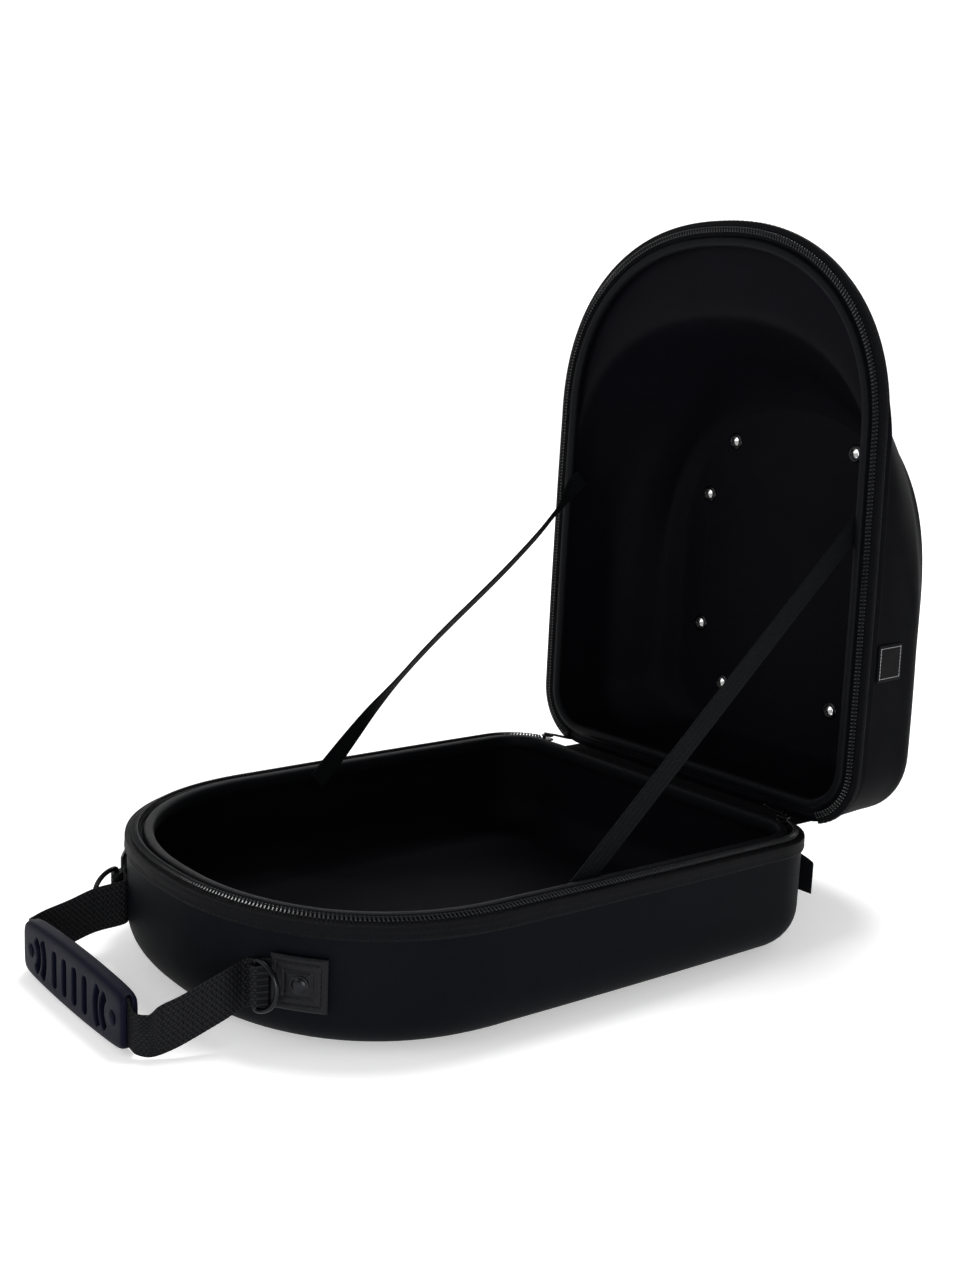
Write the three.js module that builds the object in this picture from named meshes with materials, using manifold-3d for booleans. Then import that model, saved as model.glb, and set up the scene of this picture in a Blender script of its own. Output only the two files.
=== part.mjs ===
// Carrier case for baseball caps, standing open: a shallow arch-shaped tray, a lid with a
// deep crown dome behind a shallow brim section, a zip round both rims, a cloth hinge,
// two stay straps, eight ventilation eyelets and a webbing handle with a moulded grip.
// Millimetres, +Z up, X across the width, Y from the handle end to the hinge end.
// The origin is the centre of the tray's flat underside.
import * as THREE from 'three';
import { mergeVertices } from 'three/addons/utils/BufferGeometryUtils.js';
import Module from 'manifold-3d';

// Case outline, shared by the tray and the lid
const caseWidth = 253;
const caseLength = 323;
const frontArch = 116; // length of the rounded handle end
const archPower = 2.25; // 2 would make that end a half ellipse, more makes its shoulders fuller
const sideFlare = 2.7; // how much narrower each side is at the arch than at the hinge corner
const backCorner = 34; // plan radius of the two hinge corners
const shellWall = 5; // moulded foam with cloth on both sides
const clearance = 0.3; // gap between neighbouring pieces

// Tray
const trayHeight = 64;
const trayFillet = 23; // between the tray's floor and its wall

// Lid, measured from its rim plane
const brimDepth = 11;
const brimFillet = 5;
const crownDepth = 85;
const crownFoot = 45; // from the lid's front tip to the foot of the crown
const crownShoulder = 38; // how far the crown's sides lean in up to its flat panel
const crownSlope = 54; // how far the crown's front leans back up to its flat panel
const crownHeel = 12; // how far the crown's hinge end leans in up to its flat panel
const lidAngle = 90; // degrees between the two rim planes
const lidGap = 16; // from the tray's back wall to the lid's rim plane
const lidDrop = 6; // how far the lid's hinge edge hangs below the tray's rim plane

// Rim trim, on both shells: padded band, zip tape and zip chain
const rimBandInset = 13; // the band's inner face, from the shell's outer face
const trayBandDepth = 8.5;
const lidBandDepth = 5.5;
const trayTapeWidth = 11;
const lidTapeWidth = 5;
const zipTapeThick = 0.9;
const zipChainWidth = 4.4;
const zipChainThick = 2;
const zipGroove = 1.7; // between the chain and the padded band
const zipChainInset = 1.5; // the chain's outer edge, from the shell's outer face
const zipEndAngle = 70; // degrees that the chain turns round each hinge corner
const sliderLength = 9;
const sliderHeight = 4.6;
const pullLength = 20;
const pullThick = 1.2;

// Cloth hinge
const hingeThick = 1.2;
const hingeTrayWidth = 234;
const hingeTrayLow = 26; // height of its lower edge on the tray's back wall
const hingeTrayHigh = 52;
const hingeLidWidth = 190;
const hingeLidReach = 34; // how far it runs along the lid's hinge wall
const hingeBend = 5;

// Stay straps
const stayWidth = 11.7;
const stayThick = 1;
const stayTrayPlace = 163; // from the tray's front tip, at the rim
const stayLidPlace = 162; // from the lid's hinge edge
const stayHold = 12; // length held below each rim
const stayBow = 5; // rise of the slack strap's middle above the straight line
const stayTwist = 55; // degrees that the slack strap turns between its ends

// Eyelets
const eyeletHole = 2.75;
const eyeletBarrel = 3.3;
const eyeletFlange = 5.3;
const eyeletFlangeThick = 0.8;
const eyeletPairs = [
  { half: 0.528, place: 0.127 },
  { half: 0.745, place: 0.292 },
  { half: 0.745, place: 0.689 },
  { half: 0.498, place: 0.857 },
]; // shares of the flat panel's half width and of its length from the front

// Handle
const webWidth = 23;
const webThick = 1.6;
const gripLength = 107;
const gripHeight = 30.4;
const gripEndHeight = 26.4;
const gripThick = 9;
const gripReach = 38; // from the tray's front tip to the grip's middle plane
const gripShift = -9; // the grip has slid this far along the webbing
const gripLift = 0.3; // it lies on the surface that the case stands on
const slotWidth = 3.2;
const slotHeight = 17;
const slotPitch = 11;
const slotArcs = [10, 16.5]; // radii of the curved slots round each rivet
const slotArcSpan = 100; // degrees
const gripRivetInset = 9; // from each end of the grip
const gripRivetRadius = 3.4;
const gripRivetHigh = 0.9;

// Handle anchors on the front curve, each at a distance along the wall from the front tip
const patchFrom = 75;
const patchTo = 101;
const patchHeight = 25;
const patchMiddle = 34; // height of its middle above the floor
const patchThick = 1.6;
const patchRivetRadius = 4.3;
const patchRivetHigh = 1.5;
const ringWire = 1.25; // radius of the D-ring's wire
const ringHeight = 26;
const ringDepth = 15;
const ringTiltRight = 9; // degrees that each ring has swung away from its patch
const ringTiltLeft = 122;
const ringMiddle = 31;
const keeperWall = 1.3;
const keeperHeight = 19;
const keeperTail = 3.2;
const webLeave = 60; // where the webbing leaves the wall
const webDip = 6; // how far it has dipped there

// Woven label on the lid's side
const labelWidth = 20;
const labelHeight = 22; // along the lid's depth
const labelRise = 1.5; // from the level of the brim panel
const labelThick = 0.8;
const labelPlace = 230; // of its middle, from the lid's front tip

// Facets
const archSteps = 22;
const sideSteps = 3;
const cornerSteps = 4;
const backSteps = 4;
const filletSteps = 4;
const wireSides = 6;
const eyeletSides = 12;

const wasm = await Module();
wasm.setup();

const radians = THREE.MathUtils.degToRad;

// Materials, one for each finish
const finish = (color, roughness, metalness = 0) => new THREE.MeshStandardMaterial({ color, roughness, metalness });
const shellCloth = finish(0x17181b, 0.75);
const trimCloth = finish(0x121315, 0.8);
const webbingCloth = finish(0x121315, 0.85);
const zipNylon = finish(0x1c1d20, 0.4);
const leather = finish(0x15161a, 0.5);
const gripRubber = finish(0x1e1f29, 0.5);
const blackMetal = finish(0x1a1b1e, 0.3, 0.9);
const nickel = finish(0xb8babd, 0.25, 1);
const labelCloth = finish(0x1a1b1f, 0.8);

// A point of the rounded front end, at an angle from its tip to where the sides start
function archPoint(half, arch, angle) {
  const power = 2 / archPower;
  return new THREE.Vector2(half * Math.sin(angle) ** power, arch * (1 - Math.cos(angle) ** power));
}

// Half the width of a plan shape at a place along its sides, which flare towards the hinge
function sideHalf({ half, front, arch, back, corner, flare }, y) {
  const share = (y - front - arch) / (back - corner - front - arch);
  return half - flare * (1 - share) ** 2;
}

// A plan shape as a closed ring, counter-clockwise from the front tip: the rounded front end,
// the sides, round hinge corners and a straight back.
function planRing(shape) {
  const { half, front, arch, back, corner, flare } = shape;
  const ring = [];
  const add = (x, y) => ring.push(new THREE.Vector2(x, y));
  const quarter = archSteps / 2;
  for (let i = 0; i < quarter; i += 1) {
    const angle = (i / quarter) * (Math.PI / 2);
    const point = archPoint(half - flare, arch, angle);
    add(point.x, front + point.y);
  }
  const sideStart = front + arch;
  const sideEnd = back - corner;
  for (let i = 0; i < sideSteps; i += 1) {
    const y = sideStart + ((sideEnd - sideStart) * i) / sideSteps;
    add(sideHalf(shape, y), y);
  }
  for (let i = 0; i < cornerSteps; i += 1) {
    const angle = (i / cornerSteps) * (Math.PI / 2);
    add(half - corner + corner * Math.cos(angle), sideEnd + corner * Math.sin(angle));
  }
  for (let i = 0; i < backSteps / 2; i += 1) {
    add((half - corner) * (1 - i / (backSteps / 2)), back);
  }
  const mirrored = ring.slice(1).reverse().map((point) => new THREE.Vector2(-point.x, point.y));
  return [...ring, new THREE.Vector2(0, back), ...mirrored];
}

// The case's outline moved inwards by an inset, or outwards if it is negative
const smallestCorner = 4;
const outlineShape = (inset) => ({
  half: caseWidth / 2 - inset,
  front: inset,
  arch: frontArch - inset,
  back: caseLength - inset,
  corner: Math.max(backCorner - inset, smallestCorner),
  flare: sideFlare,
});
const outline = (inset) => planRing(outlineShape(inset));

// Triangles that fill a plan profile, turned the same way round as its points
function fillFaces(profile) {
  const turn = Math.sign(THREE.ShapeUtils.area(profile));
  return THREE.ShapeUtils.triangulateShape(profile, []).map((face) => {
    const same = THREE.ShapeUtils.area(face.map((i) => profile[i])) * turn > 0;
    return same ? face : face.slice().reverse();
  });
}

const lift = (ring, height) => ring.map((point) => new THREE.Vector3(point.x, point.y, height));

// A closed body through rings of equal length. Its ends are closed by fans round their middle,
// or by the given triangles where a ring is hollow-sided, or the last ring joins the first one.
function skin(rings, { closed = false, endFaces = null } = {}) {
  const count = rings[0].length;
  const points = rings.flat();
  const faces = [];
  const spans = closed ? rings.length : rings.length - 1;
  for (let k = 0; k < spans; k += 1) {
    const low = k * count;
    const high = ((k + 1) % rings.length) * count;
    for (let i = 0; i < count; i += 1) {
      const next = (i + 1) % count;
      faces.push(low + i, low + next, high + next, low + i, high + next, high + i);
    }
  }
  if (!closed && endFaces) {
    const top = (rings.length - 1) * count;
    endFaces.forEach(([a, b, c]) => faces.push(c, b, a, top + a, top + b, top + c));
  } else if (!closed) {
    const middle = (ring) => ring.reduce((sum, point) => sum.add(point), new THREE.Vector3()).divideScalar(count);
    const first = points.push(middle(rings[0])) - 1;
    const last = points.push(middle(rings[rings.length - 1])) - 1;
    const top = (rings.length - 1) * count;
    for (let i = 0; i < count; i += 1) {
      const next = (i + 1) % count;
      faces.push(first, next, i, last, top + i, top + next);
    }
  }
  const geometry = new THREE.BufferGeometry();
  geometry.setAttribute('position', new THREE.Float32BufferAttribute(points.flatMap((p) => [p.x, p.y, p.z]), 3));
  geometry.setIndex(faces);
  return faceOut(geometry);
}

// Turns the faces round where they point inwards
function faceOut(geometry) {
  const place = geometry.getAttribute('position');
  const index = Array.from(geometry.getIndex().array);
  const corner = (k) => new THREE.Vector3().fromBufferAttribute(place, index[k]);
  let volume = 0;
  for (let k = 0; k < index.length; k += 3) {
    volume += corner(k).dot(corner(k + 1).cross(corner(k + 2)));
  }
  if (volume < 0) {
    for (let k = 0; k < index.length; k += 3) {
      [index[k + 1], index[k + 2]] = [index[k + 2], index[k + 1]];
    }
    geometry.setIndex(index);
  }
  return geometry;
}

// Exact joins and cuts
function toSolid(geometry) {
  const bare = geometry.clone();
  bare.deleteAttribute('normal');
  bare.deleteAttribute('uv');
  const merged = mergeVertices(bare, 1e-4);
  const vertProperties = new Float32Array(merged.getAttribute('position').array);
  const triVerts = new Uint32Array(merged.getIndex().array);
  return new wasm.Manifold(new wasm.Mesh({ numProp: 3, vertProperties, triVerts }));
}

function toGeometry(solid) {
  const { vertProperties, triVerts } = solid.getMesh();
  const geometry = new THREE.BufferGeometry();
  geometry.setAttribute('position', new THREE.Float32BufferAttribute(vertProperties, 3));
  geometry.setIndex(Array.from(triVerts));
  return geometry;
}

const cut = (geometry, cutters) => toGeometry(cutters.reduce((solid, tool) => solid.subtract(toSolid(tool)), toSolid(geometry)));
const join = (...geometries) => toGeometry(geometries.map(toSolid).reduce((a, b) => a.add(b)));

const root = new THREE.Group();
const tray = new THREE.Group();
const lid = new THREE.Group();
root.add(tray, lid);
tray.position.set(0, -caseLength / 2, 0);
// The lid's own frame is the closed case's: its rim plane is at z = 0 and its crown above it
const opened = radians(lidAngle);
lid.rotation.x = -opened;
lid.position.set(
  0,
  caseLength / 2 + lidGap - caseLength * Math.cos(opened),
  trayHeight - lidDrop + caseLength * Math.sin(opened),
);

function addPiece(group, name, geometry, material) {
  const mesh = new THREE.Mesh(geometry, material);
  mesh.name = name;
  group.add(mesh);
  return mesh;
}

// Rim stack: the shell's edge lies below the tape, and the tape below the chain
const chainTop = 0.3; // above the rim plane
const chainBase = chainTop - zipChainThick;
const tapeTop = chainBase - clearance;
const tapeBase = tapeTop - zipTapeThick;
const shellEdge = tapeBase - clearance;

// Tray: from the flat underside over the fillet and the wall to the rim, then down inside
function trayGeometry() {
  const rings = [];
  const quarterTurn = Math.PI / 2;
  for (let i = 0; i <= filletSteps; i += 1) {
    const angle = (i / filletSteps) * quarterTurn;
    rings.push(lift(outline(trayFillet * (1 - Math.sin(angle))), trayFillet * (1 - Math.cos(angle))));
  }
  rings.push(lift(outline(0), trayHeight + shellEdge));
  rings.push(lift(outline(shellWall), trayHeight + shellEdge));
  const innerFillet = trayFillet - shellWall;
  for (let i = filletSteps; i >= 0; i -= 1) {
    const angle = (i / filletSteps) * quarterTurn;
    rings.push(lift(outline(shellWall + innerFillet * (1 - Math.sin(angle))), shellWall + innerFillet * (1 - Math.cos(angle))));
  }
  return skin(rings);
}

// Crown sections from its foot at the brim panel to its flat panel, as shares: height of the
// crown's rise, side of crownShoulder, front of crownSlope, arch of half the case's width,
// heel of crownHeel
const crownSections = [
  { height: 0, side: 0.01, front: 0, arch: 0.88, heel: 0.02 },
  { height: 0.17, side: 0.035, front: 0.13, arch: 0.9, heel: 0.02 },
  { height: 0.37, side: 0.065, front: 0.26, arch: 1.06, heel: 0.02 },
  { height: 0.54, side: 0.1, front: 0.4, arch: 1.22, heel: 0.01 },
  { height: 0.7, side: 0.33, front: 0.53, arch: 1.24, heel: 0.2 },
  { height: 0.85, side: 0.54, front: 0.7, arch: 1.07, heel: 0.42 },
  { height: 0.94, side: 0.7, front: 0.86, arch: 0.84, heel: 0.64 },
  { height: 1, side: 1, front: 1, arch: 0.71, heel: 1 },
];

// One crown section on the outer face, or a wall's thickness inside it. The sides' flare fades
// out towards the flat panel.
function crownShape({ height, side, front, arch, heel }, inset) {
  const sideInset = side * crownShoulder;
  return {
    half: caseWidth / 2 - sideInset - inset,
    front: crownFoot + front * crownSlope + inset,
    arch: (arch * caseWidth) / 2 - inset,
    back: caseLength - heel * crownHeel - inset,
    corner: backCorner + sideInset * 0.15 - inset,
    flare: sideFlare * (1 - height),
  };
}

const crownRing = (section, inset) => lift(
  planRing(crownShape(section, inset)),
  brimDepth + section.height * (crownDepth - brimDepth) - inset,
);

// Half the crown's outer width at a depth below the rim plane and a distance from the front tip
function crownHalfWidth(depth, place) {
  const share = (depth - brimDepth) / (crownDepth - brimDepth);
  const above = crownSections.findIndex((section) => section.height > share);
  const [low, high] = [crownSections[above - 1], crownSections[above]];
  const part = (share - low.height) / (high.height - low.height);
  const half = (section) => sideHalf(crownShape(section, 0), place);
  return half(low) + part * (half(high) - half(low));
}

// One face of the lid from its rim to the crown's panel: rim wall, fillet, brim panel, crown.
// The fillet is as wide as the brim panel leaves room for, so it fades out along the sides.
function lidFace(inset) {
  const edge = outline(inset);
  const foot = crownRing(crownSections[0], inset);
  const panel = brimDepth - inset;
  const rings = [lift(edge, -shellEdge)];
  const count = edge.length;
  const inwards = edge.map((point, i) => {
    const along = edge[(i + 1) % count].clone().sub(edge[(i + count - 1) % count]).normalize();
    return new THREE.Vector2(-along.y, along.x);
  });
  const radius = edge.map((point, i) => {
    const room = new THREE.Vector2(foot[i].x, foot[i].y).sub(point).dot(inwards[i]);
    return Math.min(brimFillet - inset / 2, Math.max(room, 0) * 0.8);
  });
  const steps = 3;
  for (let k = 0; k <= steps; k += 1) {
    const angle = (k / steps) * (Math.PI / 2);
    rings.push(edge.map((point, i) => {
      const moved = point.clone().addScaledVector(inwards[i], radius[i] * (1 - Math.cos(angle)));
      return new THREE.Vector3(moved.x, moved.y, panel - radius[i] * (1 - Math.sin(angle)));
    }));
  }
  return [...rings, ...crownSections.map((section) => crownRing(section, inset))];
}

function lidGeometry() {
  const shell = skin([...lidFace(shellWall).reverse(), ...lidFace(0)]);
  const holes = eyeletPlaces().map(({ x, y }) => {
    const hole = new THREE.CylinderGeometry(eyeletBarrel + clearance, eyeletBarrel + clearance, shellWall * 3, eyeletSides);
    return hole.rotateX(Math.PI / 2).translate(x, y, crownDepth - shellWall / 2);
  });
  return cut(shell, holes);
}

function eyeletPlaces() {
  const panelHalf = caseWidth / 2 - crownShoulder;
  const panelFront = crownFoot + crownSlope;
  const panelLength = caseLength - crownHeel - panelFront;
  return eyeletPairs.flatMap(({ half, place }) => {
    const y = panelFront + place * panelLength;
    return [{ x: half * panelHalf, y }, { x: -half * panelHalf, y }];
  });
}

// An eyelet: a barrel through the panel with a flange on each face
function eyeletGeometry() {
  const reach = shellWall / 2 + clearance + eyeletFlangeThick;
  const seat = reach - eyeletFlangeThick;
  const profile = [
    [eyeletHole, -reach],
    [eyeletFlange, -reach],
    [eyeletFlange, -seat],
    [eyeletBarrel, -seat],
    [eyeletBarrel, seat],
    [eyeletFlange, seat],
    [eyeletFlange, reach],
    [eyeletHole, reach],
    [eyeletHole, -reach],
  ];
  const turned = new THREE.LatheGeometry(profile.map(([r, h]) => new THREE.Vector2(r, h)), eyeletSides);
  turned.rotateX(Math.PI / 2);
  return toGeometry(toSolid(faceOut(weld(turned))));
}

// Shared vertices, with only positions left
function weld(geometry) {
  const bare = geometry.clone();
  bare.deleteAttribute('normal');
  bare.deleteAttribute('uv');
  return mergeVertices(bare, 1e-4);
}

// Rim trim. A section's points are insets from the shell's outer face and rises from the rim
// plane towards the other half. rise(height) turns a rise into the shell's own z.
const onTray = (height) => trayHeight + height;
const onLid = (height) => -height;

const trimRound = 0.7; // the trim's edges are rounded by this much
const bandSection = (depth) => {
  const outer = shellWall + clearance;
  const groove = zipChainInset + zipChainWidth + zipGroove;
  return [
    [outer + 2 * trimRound, -depth],
    [outer, -depth + 3 * trimRound],
    [outer, shellEdge],
    [groove, shellEdge],
    [groove + trimRound, chainTop - trimRound],
    [(groove + rimBandInset) / 2, chainTop],
    [rimBandInset - trimRound, chainTop - trimRound],
    [rimBandInset, chainTop - 3 * trimRound],
    [rimBandInset, -depth + 2 * trimRound],
    [rimBandInset - 2 * trimRound, -depth],
  ];
};

const tapeSection = (width) => {
  const outer = -clearance - zipTapeThick;
  const inner = zipChainInset + zipChainWidth;
  return [
    [outer, -width],
    [outer, tapeTop - trimRound],
    [outer + trimRound, tapeTop],
    [inner, tapeTop],
    [inner, tapeBase],
    [-clearance, tapeBase],
    [-clearance, -width],
  ];
};

const chainSection = (() => {
  const outer = zipChainInset;
  const inner = outer + zipChainWidth;
  const shoulder = chainTop - trimRound;
  return [
    [outer, chainBase],
    [outer, shoulder],
    [outer + trimRound, chainTop],
    [inner - trimRound, chainTop],
    [inner, shoulder],
    [inner, chainBase],
  ];
})();

// The trim's stations are the outline's own; the zip's run from one hinge corner round the
// front to the other, and stop part of the way round each corner
function ringTrim(section, rise) {
  const loops = section.map(([inset, height]) => lift(outline(inset), rise(height)));
  return skin(loops[0].map((_, i) => loops.map((loop) => loop[i])), { closed: true });
}

function zipTrim(section, rise) {
  const lastCorner = archSteps / 2 + sideSteps + Math.round((zipEndAngle / 90) * cornerSteps);
  const loops = section.map(([inset, height]) => lift(outline(inset), rise(height)));
  const count = loops[0].length;
  const stations = [];
  for (let i = -lastCorner; i <= lastCorner; i += 1) {
    stations.push(loops.map((loop) => loop[(i + count) % count]));
  }
  const profile = section.map(([inset, height]) => new THREE.Vector2(inset, height));
  return skin(stations, { endFaces: fillFaces(profile) });
}

// Slider parked past the chain's end at a hinge corner, with its pull laid along the back rim
function sliderGeometry(side) {
  const index = archSteps / 2 + sideSteps + Math.round((zipEndAngle / 90) * cornerSteps);
  const path = outline(zipChainInset + zipChainWidth / 2);
  const end = path[index];
  const along = path[index + 1].clone().sub(end).normalize();
  const half = zipChainWidth / 2 + 1;
  const nose = 2 * clearance;
  const body = new THREE.Shape();
  body.moveTo(nose, -half + 1);
  body.lineTo(sliderLength * 0.6, -half);
  body.lineTo(sliderLength, -half + 1.4);
  body.lineTo(sliderLength, half - 1.4);
  body.lineTo(sliderLength * 0.6, half);
  body.lineTo(nose, half - 1);
  body.closePath();
  const block = new THREE.ExtrudeGeometry(body, { depth: sliderHeight, bevelEnabled: false });
  block.translate(0, 0, chainBase);
  const pull = new THREE.Shape();
  const pullHalf = half - 1.2;
  pull.moveTo(sliderLength * 0.5, -pullHalf * 0.6);
  pull.lineTo(sliderLength * 0.5 + pullLength, -pullHalf);
  pull.lineTo(sliderLength * 0.5 + pullLength, pullHalf);
  pull.lineTo(sliderLength * 0.5, pullHalf * 0.6);
  pull.closePath();
  const plate = new THREE.ExtrudeGeometry(pull, { depth: pullThick, bevelEnabled: false });
  plate.translate(0, 0, chainBase + sliderHeight - 0.2);
  const both = join(block, plate);
  both.rotateZ(Math.atan2(along.y, along.x));
  both.translate(end.x, end.y, trayHeight);
  if (side < 0) {
    both.scale(-1, 1, 1);
    return faceOut(both);
  }
  return both;
}

addPiece(tray, 'base_tray', trayGeometry(), shellCloth);
addPiece(lid, 'lid_shell', lidGeometry(), shellCloth);
addPiece(tray, 'tray_rim_band', ringTrim(bandSection(trayBandDepth), onTray), trimCloth);
addPiece(lid, 'lid_rim_band', ringTrim(bandSection(lidBandDepth), onLid), trimCloth);
addPiece(tray, 'tray_zip_tape', zipTrim(tapeSection(trayTapeWidth), onTray), trimCloth);
addPiece(lid, 'lid_zip_tape', zipTrim(tapeSection(lidTapeWidth), onLid), trimCloth);
addPiece(tray, 'tray_zip_chain', zipTrim(chainSection, onTray), zipNylon);
addPiece(lid, 'lid_zip_chain', zipTrim(chainSection, onLid), zipNylon);
addPiece(tray, 'zip_slider_right', sliderGeometry(1), blackMetal);
addPiece(tray, 'zip_slider_left', sliderGeometry(-1), blackMetal);

eyeletPlaces().forEach(({ x, y }, i) => {
  const eyelet = addPiece(lid, `eyelet_${i + 1}`, eyeletGeometry(), nickel);
  eyelet.position.set(x, y, crownDepth - shellWall / 2);
});

// A ribbon of the given width and thickness through stations, each with a middle, a direction
// across the width and a direction through the thickness
function ribbon(stations, width, thick) {
  return skin(stations.map(({ middle, across, through }) => {
    const corner = (u, v) => middle.clone().addScaledVector(across, (u * width) / 2).addScaledVector(through, (v * thick) / 2);
    return [corner(-1, -1), corner(1, -1), corner(1, 1), corner(-1, 1)];
  }));
}

// Cloth hinge: flat on the tray's back wall, bent back under the lid's hinge wall. The lower
// part is wider and stands off the tray's rounded corners.
function hingeGeometry() {
  const wallY = caseLength + clearance;
  const lidZ = trayHeight - lidDrop - clearance;
  const line = (points, width) => {
    const shape = new THREE.Shape(points.map(([y, z]) => new THREE.Vector2(y, z)));
    const sheet = new THREE.ExtrudeGeometry(shape, { depth: width, bevelEnabled: false });
    // The shape's own plane is YZ, and it is drawn out along X
    const turn = new THREE.Matrix4().makeBasis(new THREE.Vector3(0, 1, 0), new THREE.Vector3(0, 0, 1), new THREE.Vector3(1, 0, 0));
    return sheet.applyMatrix4(turn).translate(-width / 2, 0, 0);
  };
  const bend = (radius) => {
    const points = [];
    for (let i = 0; i <= filletSteps; i += 1) {
      const angle = (i / filletSteps) * (Math.PI / 2);
      points.push([
        wallY + hingeBend + hingeThick - radius * Math.cos(angle),
        lidZ - hingeBend - hingeThick + radius * Math.sin(angle),
      ]);
    }
    return points;
  };
  const reach = caseLength + lidGap + hingeLidReach;
  const folded = [
    [wallY, hingeTrayLow],
    ...bend(hingeBend + hingeThick),
    [reach, lidZ],
    [reach, lidZ - hingeThick],
    ...bend(hingeBend).reverse(),
    [wallY + hingeThick, hingeTrayLow],
  ];
  const band = [
    [wallY, hingeTrayLow],
    [wallY, hingeTrayHigh - hingeBend],
    [wallY + hingeThick, hingeTrayHigh - hingeBend],
    [wallY + hingeThick, hingeTrayLow],
  ];
  return join(line(folded, hingeLidWidth), line(band, hingeTrayWidth));
}
addPiece(tray, 'hinge_strip', hingeGeometry(), webbingCloth);

// Stay straps between the two rims, in the tray's frame. Each end is held against the inner
// face of a rim band. side is +1 or -1, bow lifts the strap's middle and twist turns it.
function stayGeometry(side, bow, twist) {
  const bandHalf = sideHalf(outlineShape(0), stayTrayPlace - stayHold) - rimBandInset;
  const x = side * (bandHalf - clearance - stayThick / 2);
  const low = new THREE.Vector3(x, stayTrayPlace, trayHeight);
  const high = new THREE.Vector3(x, caseLength + lidGap, trayHeight - lidDrop + stayLidPlace);
  const along = high.clone().sub(low).normalize();
  const start = low.clone().addScaledVector(along, -stayHold);
  const end = high.clone().addScaledVector(along, stayHold);
  const across = new THREE.Vector3(0, -along.z, along.y);
  const through = new THREE.Vector3(1, 0, 0);
  const steps = bow > 0 ? 16 : 2;
  const twistRate = 8;
  const stations = [];
  for (let i = 0; i <= steps; i += 1) {
    const share = i / steps;
    const middle = start.clone().lerp(end, share);
    middle.z += 4 * bow * share * (1 - share);
    // The strap is held flat at both ends and swings in from the bands as it turns
    const turn = twist * Math.min(1, twistRate * share, twistRate * (1 - share));
    middle.x -= side * Math.abs(Math.sin(turn)) * (stayWidth / 2);
    stations.push({
      middle,
      across: across.clone().applyAxisAngle(along, turn),
      through: through.clone().applyAxisAngle(along, turn),
    });
  }
  return ribbon(stations, stayWidth, stayThick);
}
addPiece(tray, 'stay_strap_right', stayGeometry(1, 0, 0), webbingCloth);
addPiece(tray, 'stay_strap_left', stayGeometry(-1, stayBow, radians(stayTwist)), webbingCloth);

// A place on the tray's front curve at a distance along it from the front tip, with the
// directions along the wall and out of it
function wallPlace(distance) {
  const side = Math.sign(distance);
  const point = (angle) => archPoint(caseWidth / 2 - sideFlare, frontArch, angle);
  const step = 0.002;
  let walked = 0;
  let angle = 0;
  while (walked < Math.abs(distance)) {
    walked += point(angle + step).distanceTo(point(angle));
    angle += step;
  }
  const here = point(angle);
  const along = point(angle + step).sub(here).normalize();
  return {
    spot: new THREE.Vector3(side * here.x, here.y, 0),
    along: new THREE.Vector3(side * along.x, along.y, 0), // away from the front tip
    out: new THREE.Vector3(side * along.y, -along.x, 0),
  };
}
const up = new THREE.Vector3(0, 0, 1);

// A piece that lies on the front curve at an offset from it, between two distances
function wallStrip(side, from, to, offset, height, middle, thick, steps = 4) {
  const stations = [];
  for (let i = 0; i <= steps; i += 1) {
    const { spot, out } = wallPlace(side * (from + ((to - from) * i) / steps));
    const centre = spot.clone().addScaledVector(out, offset + thick / 2);
    centre.z = middle;
    stations.push({ middle: centre, across: up, through: out });
  }
  return stations;
}

// Handle webbing: from under one patch along the wall, off it, through the grip and back to
// the other side. Its lower edge stays clear of the surface below.
const webLow = webWidth / 2 + gripLift + 0.2;
const gripMiddle = gripHeight / 2 + gripLift;
const gripEnd = gripLength / 2;
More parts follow.
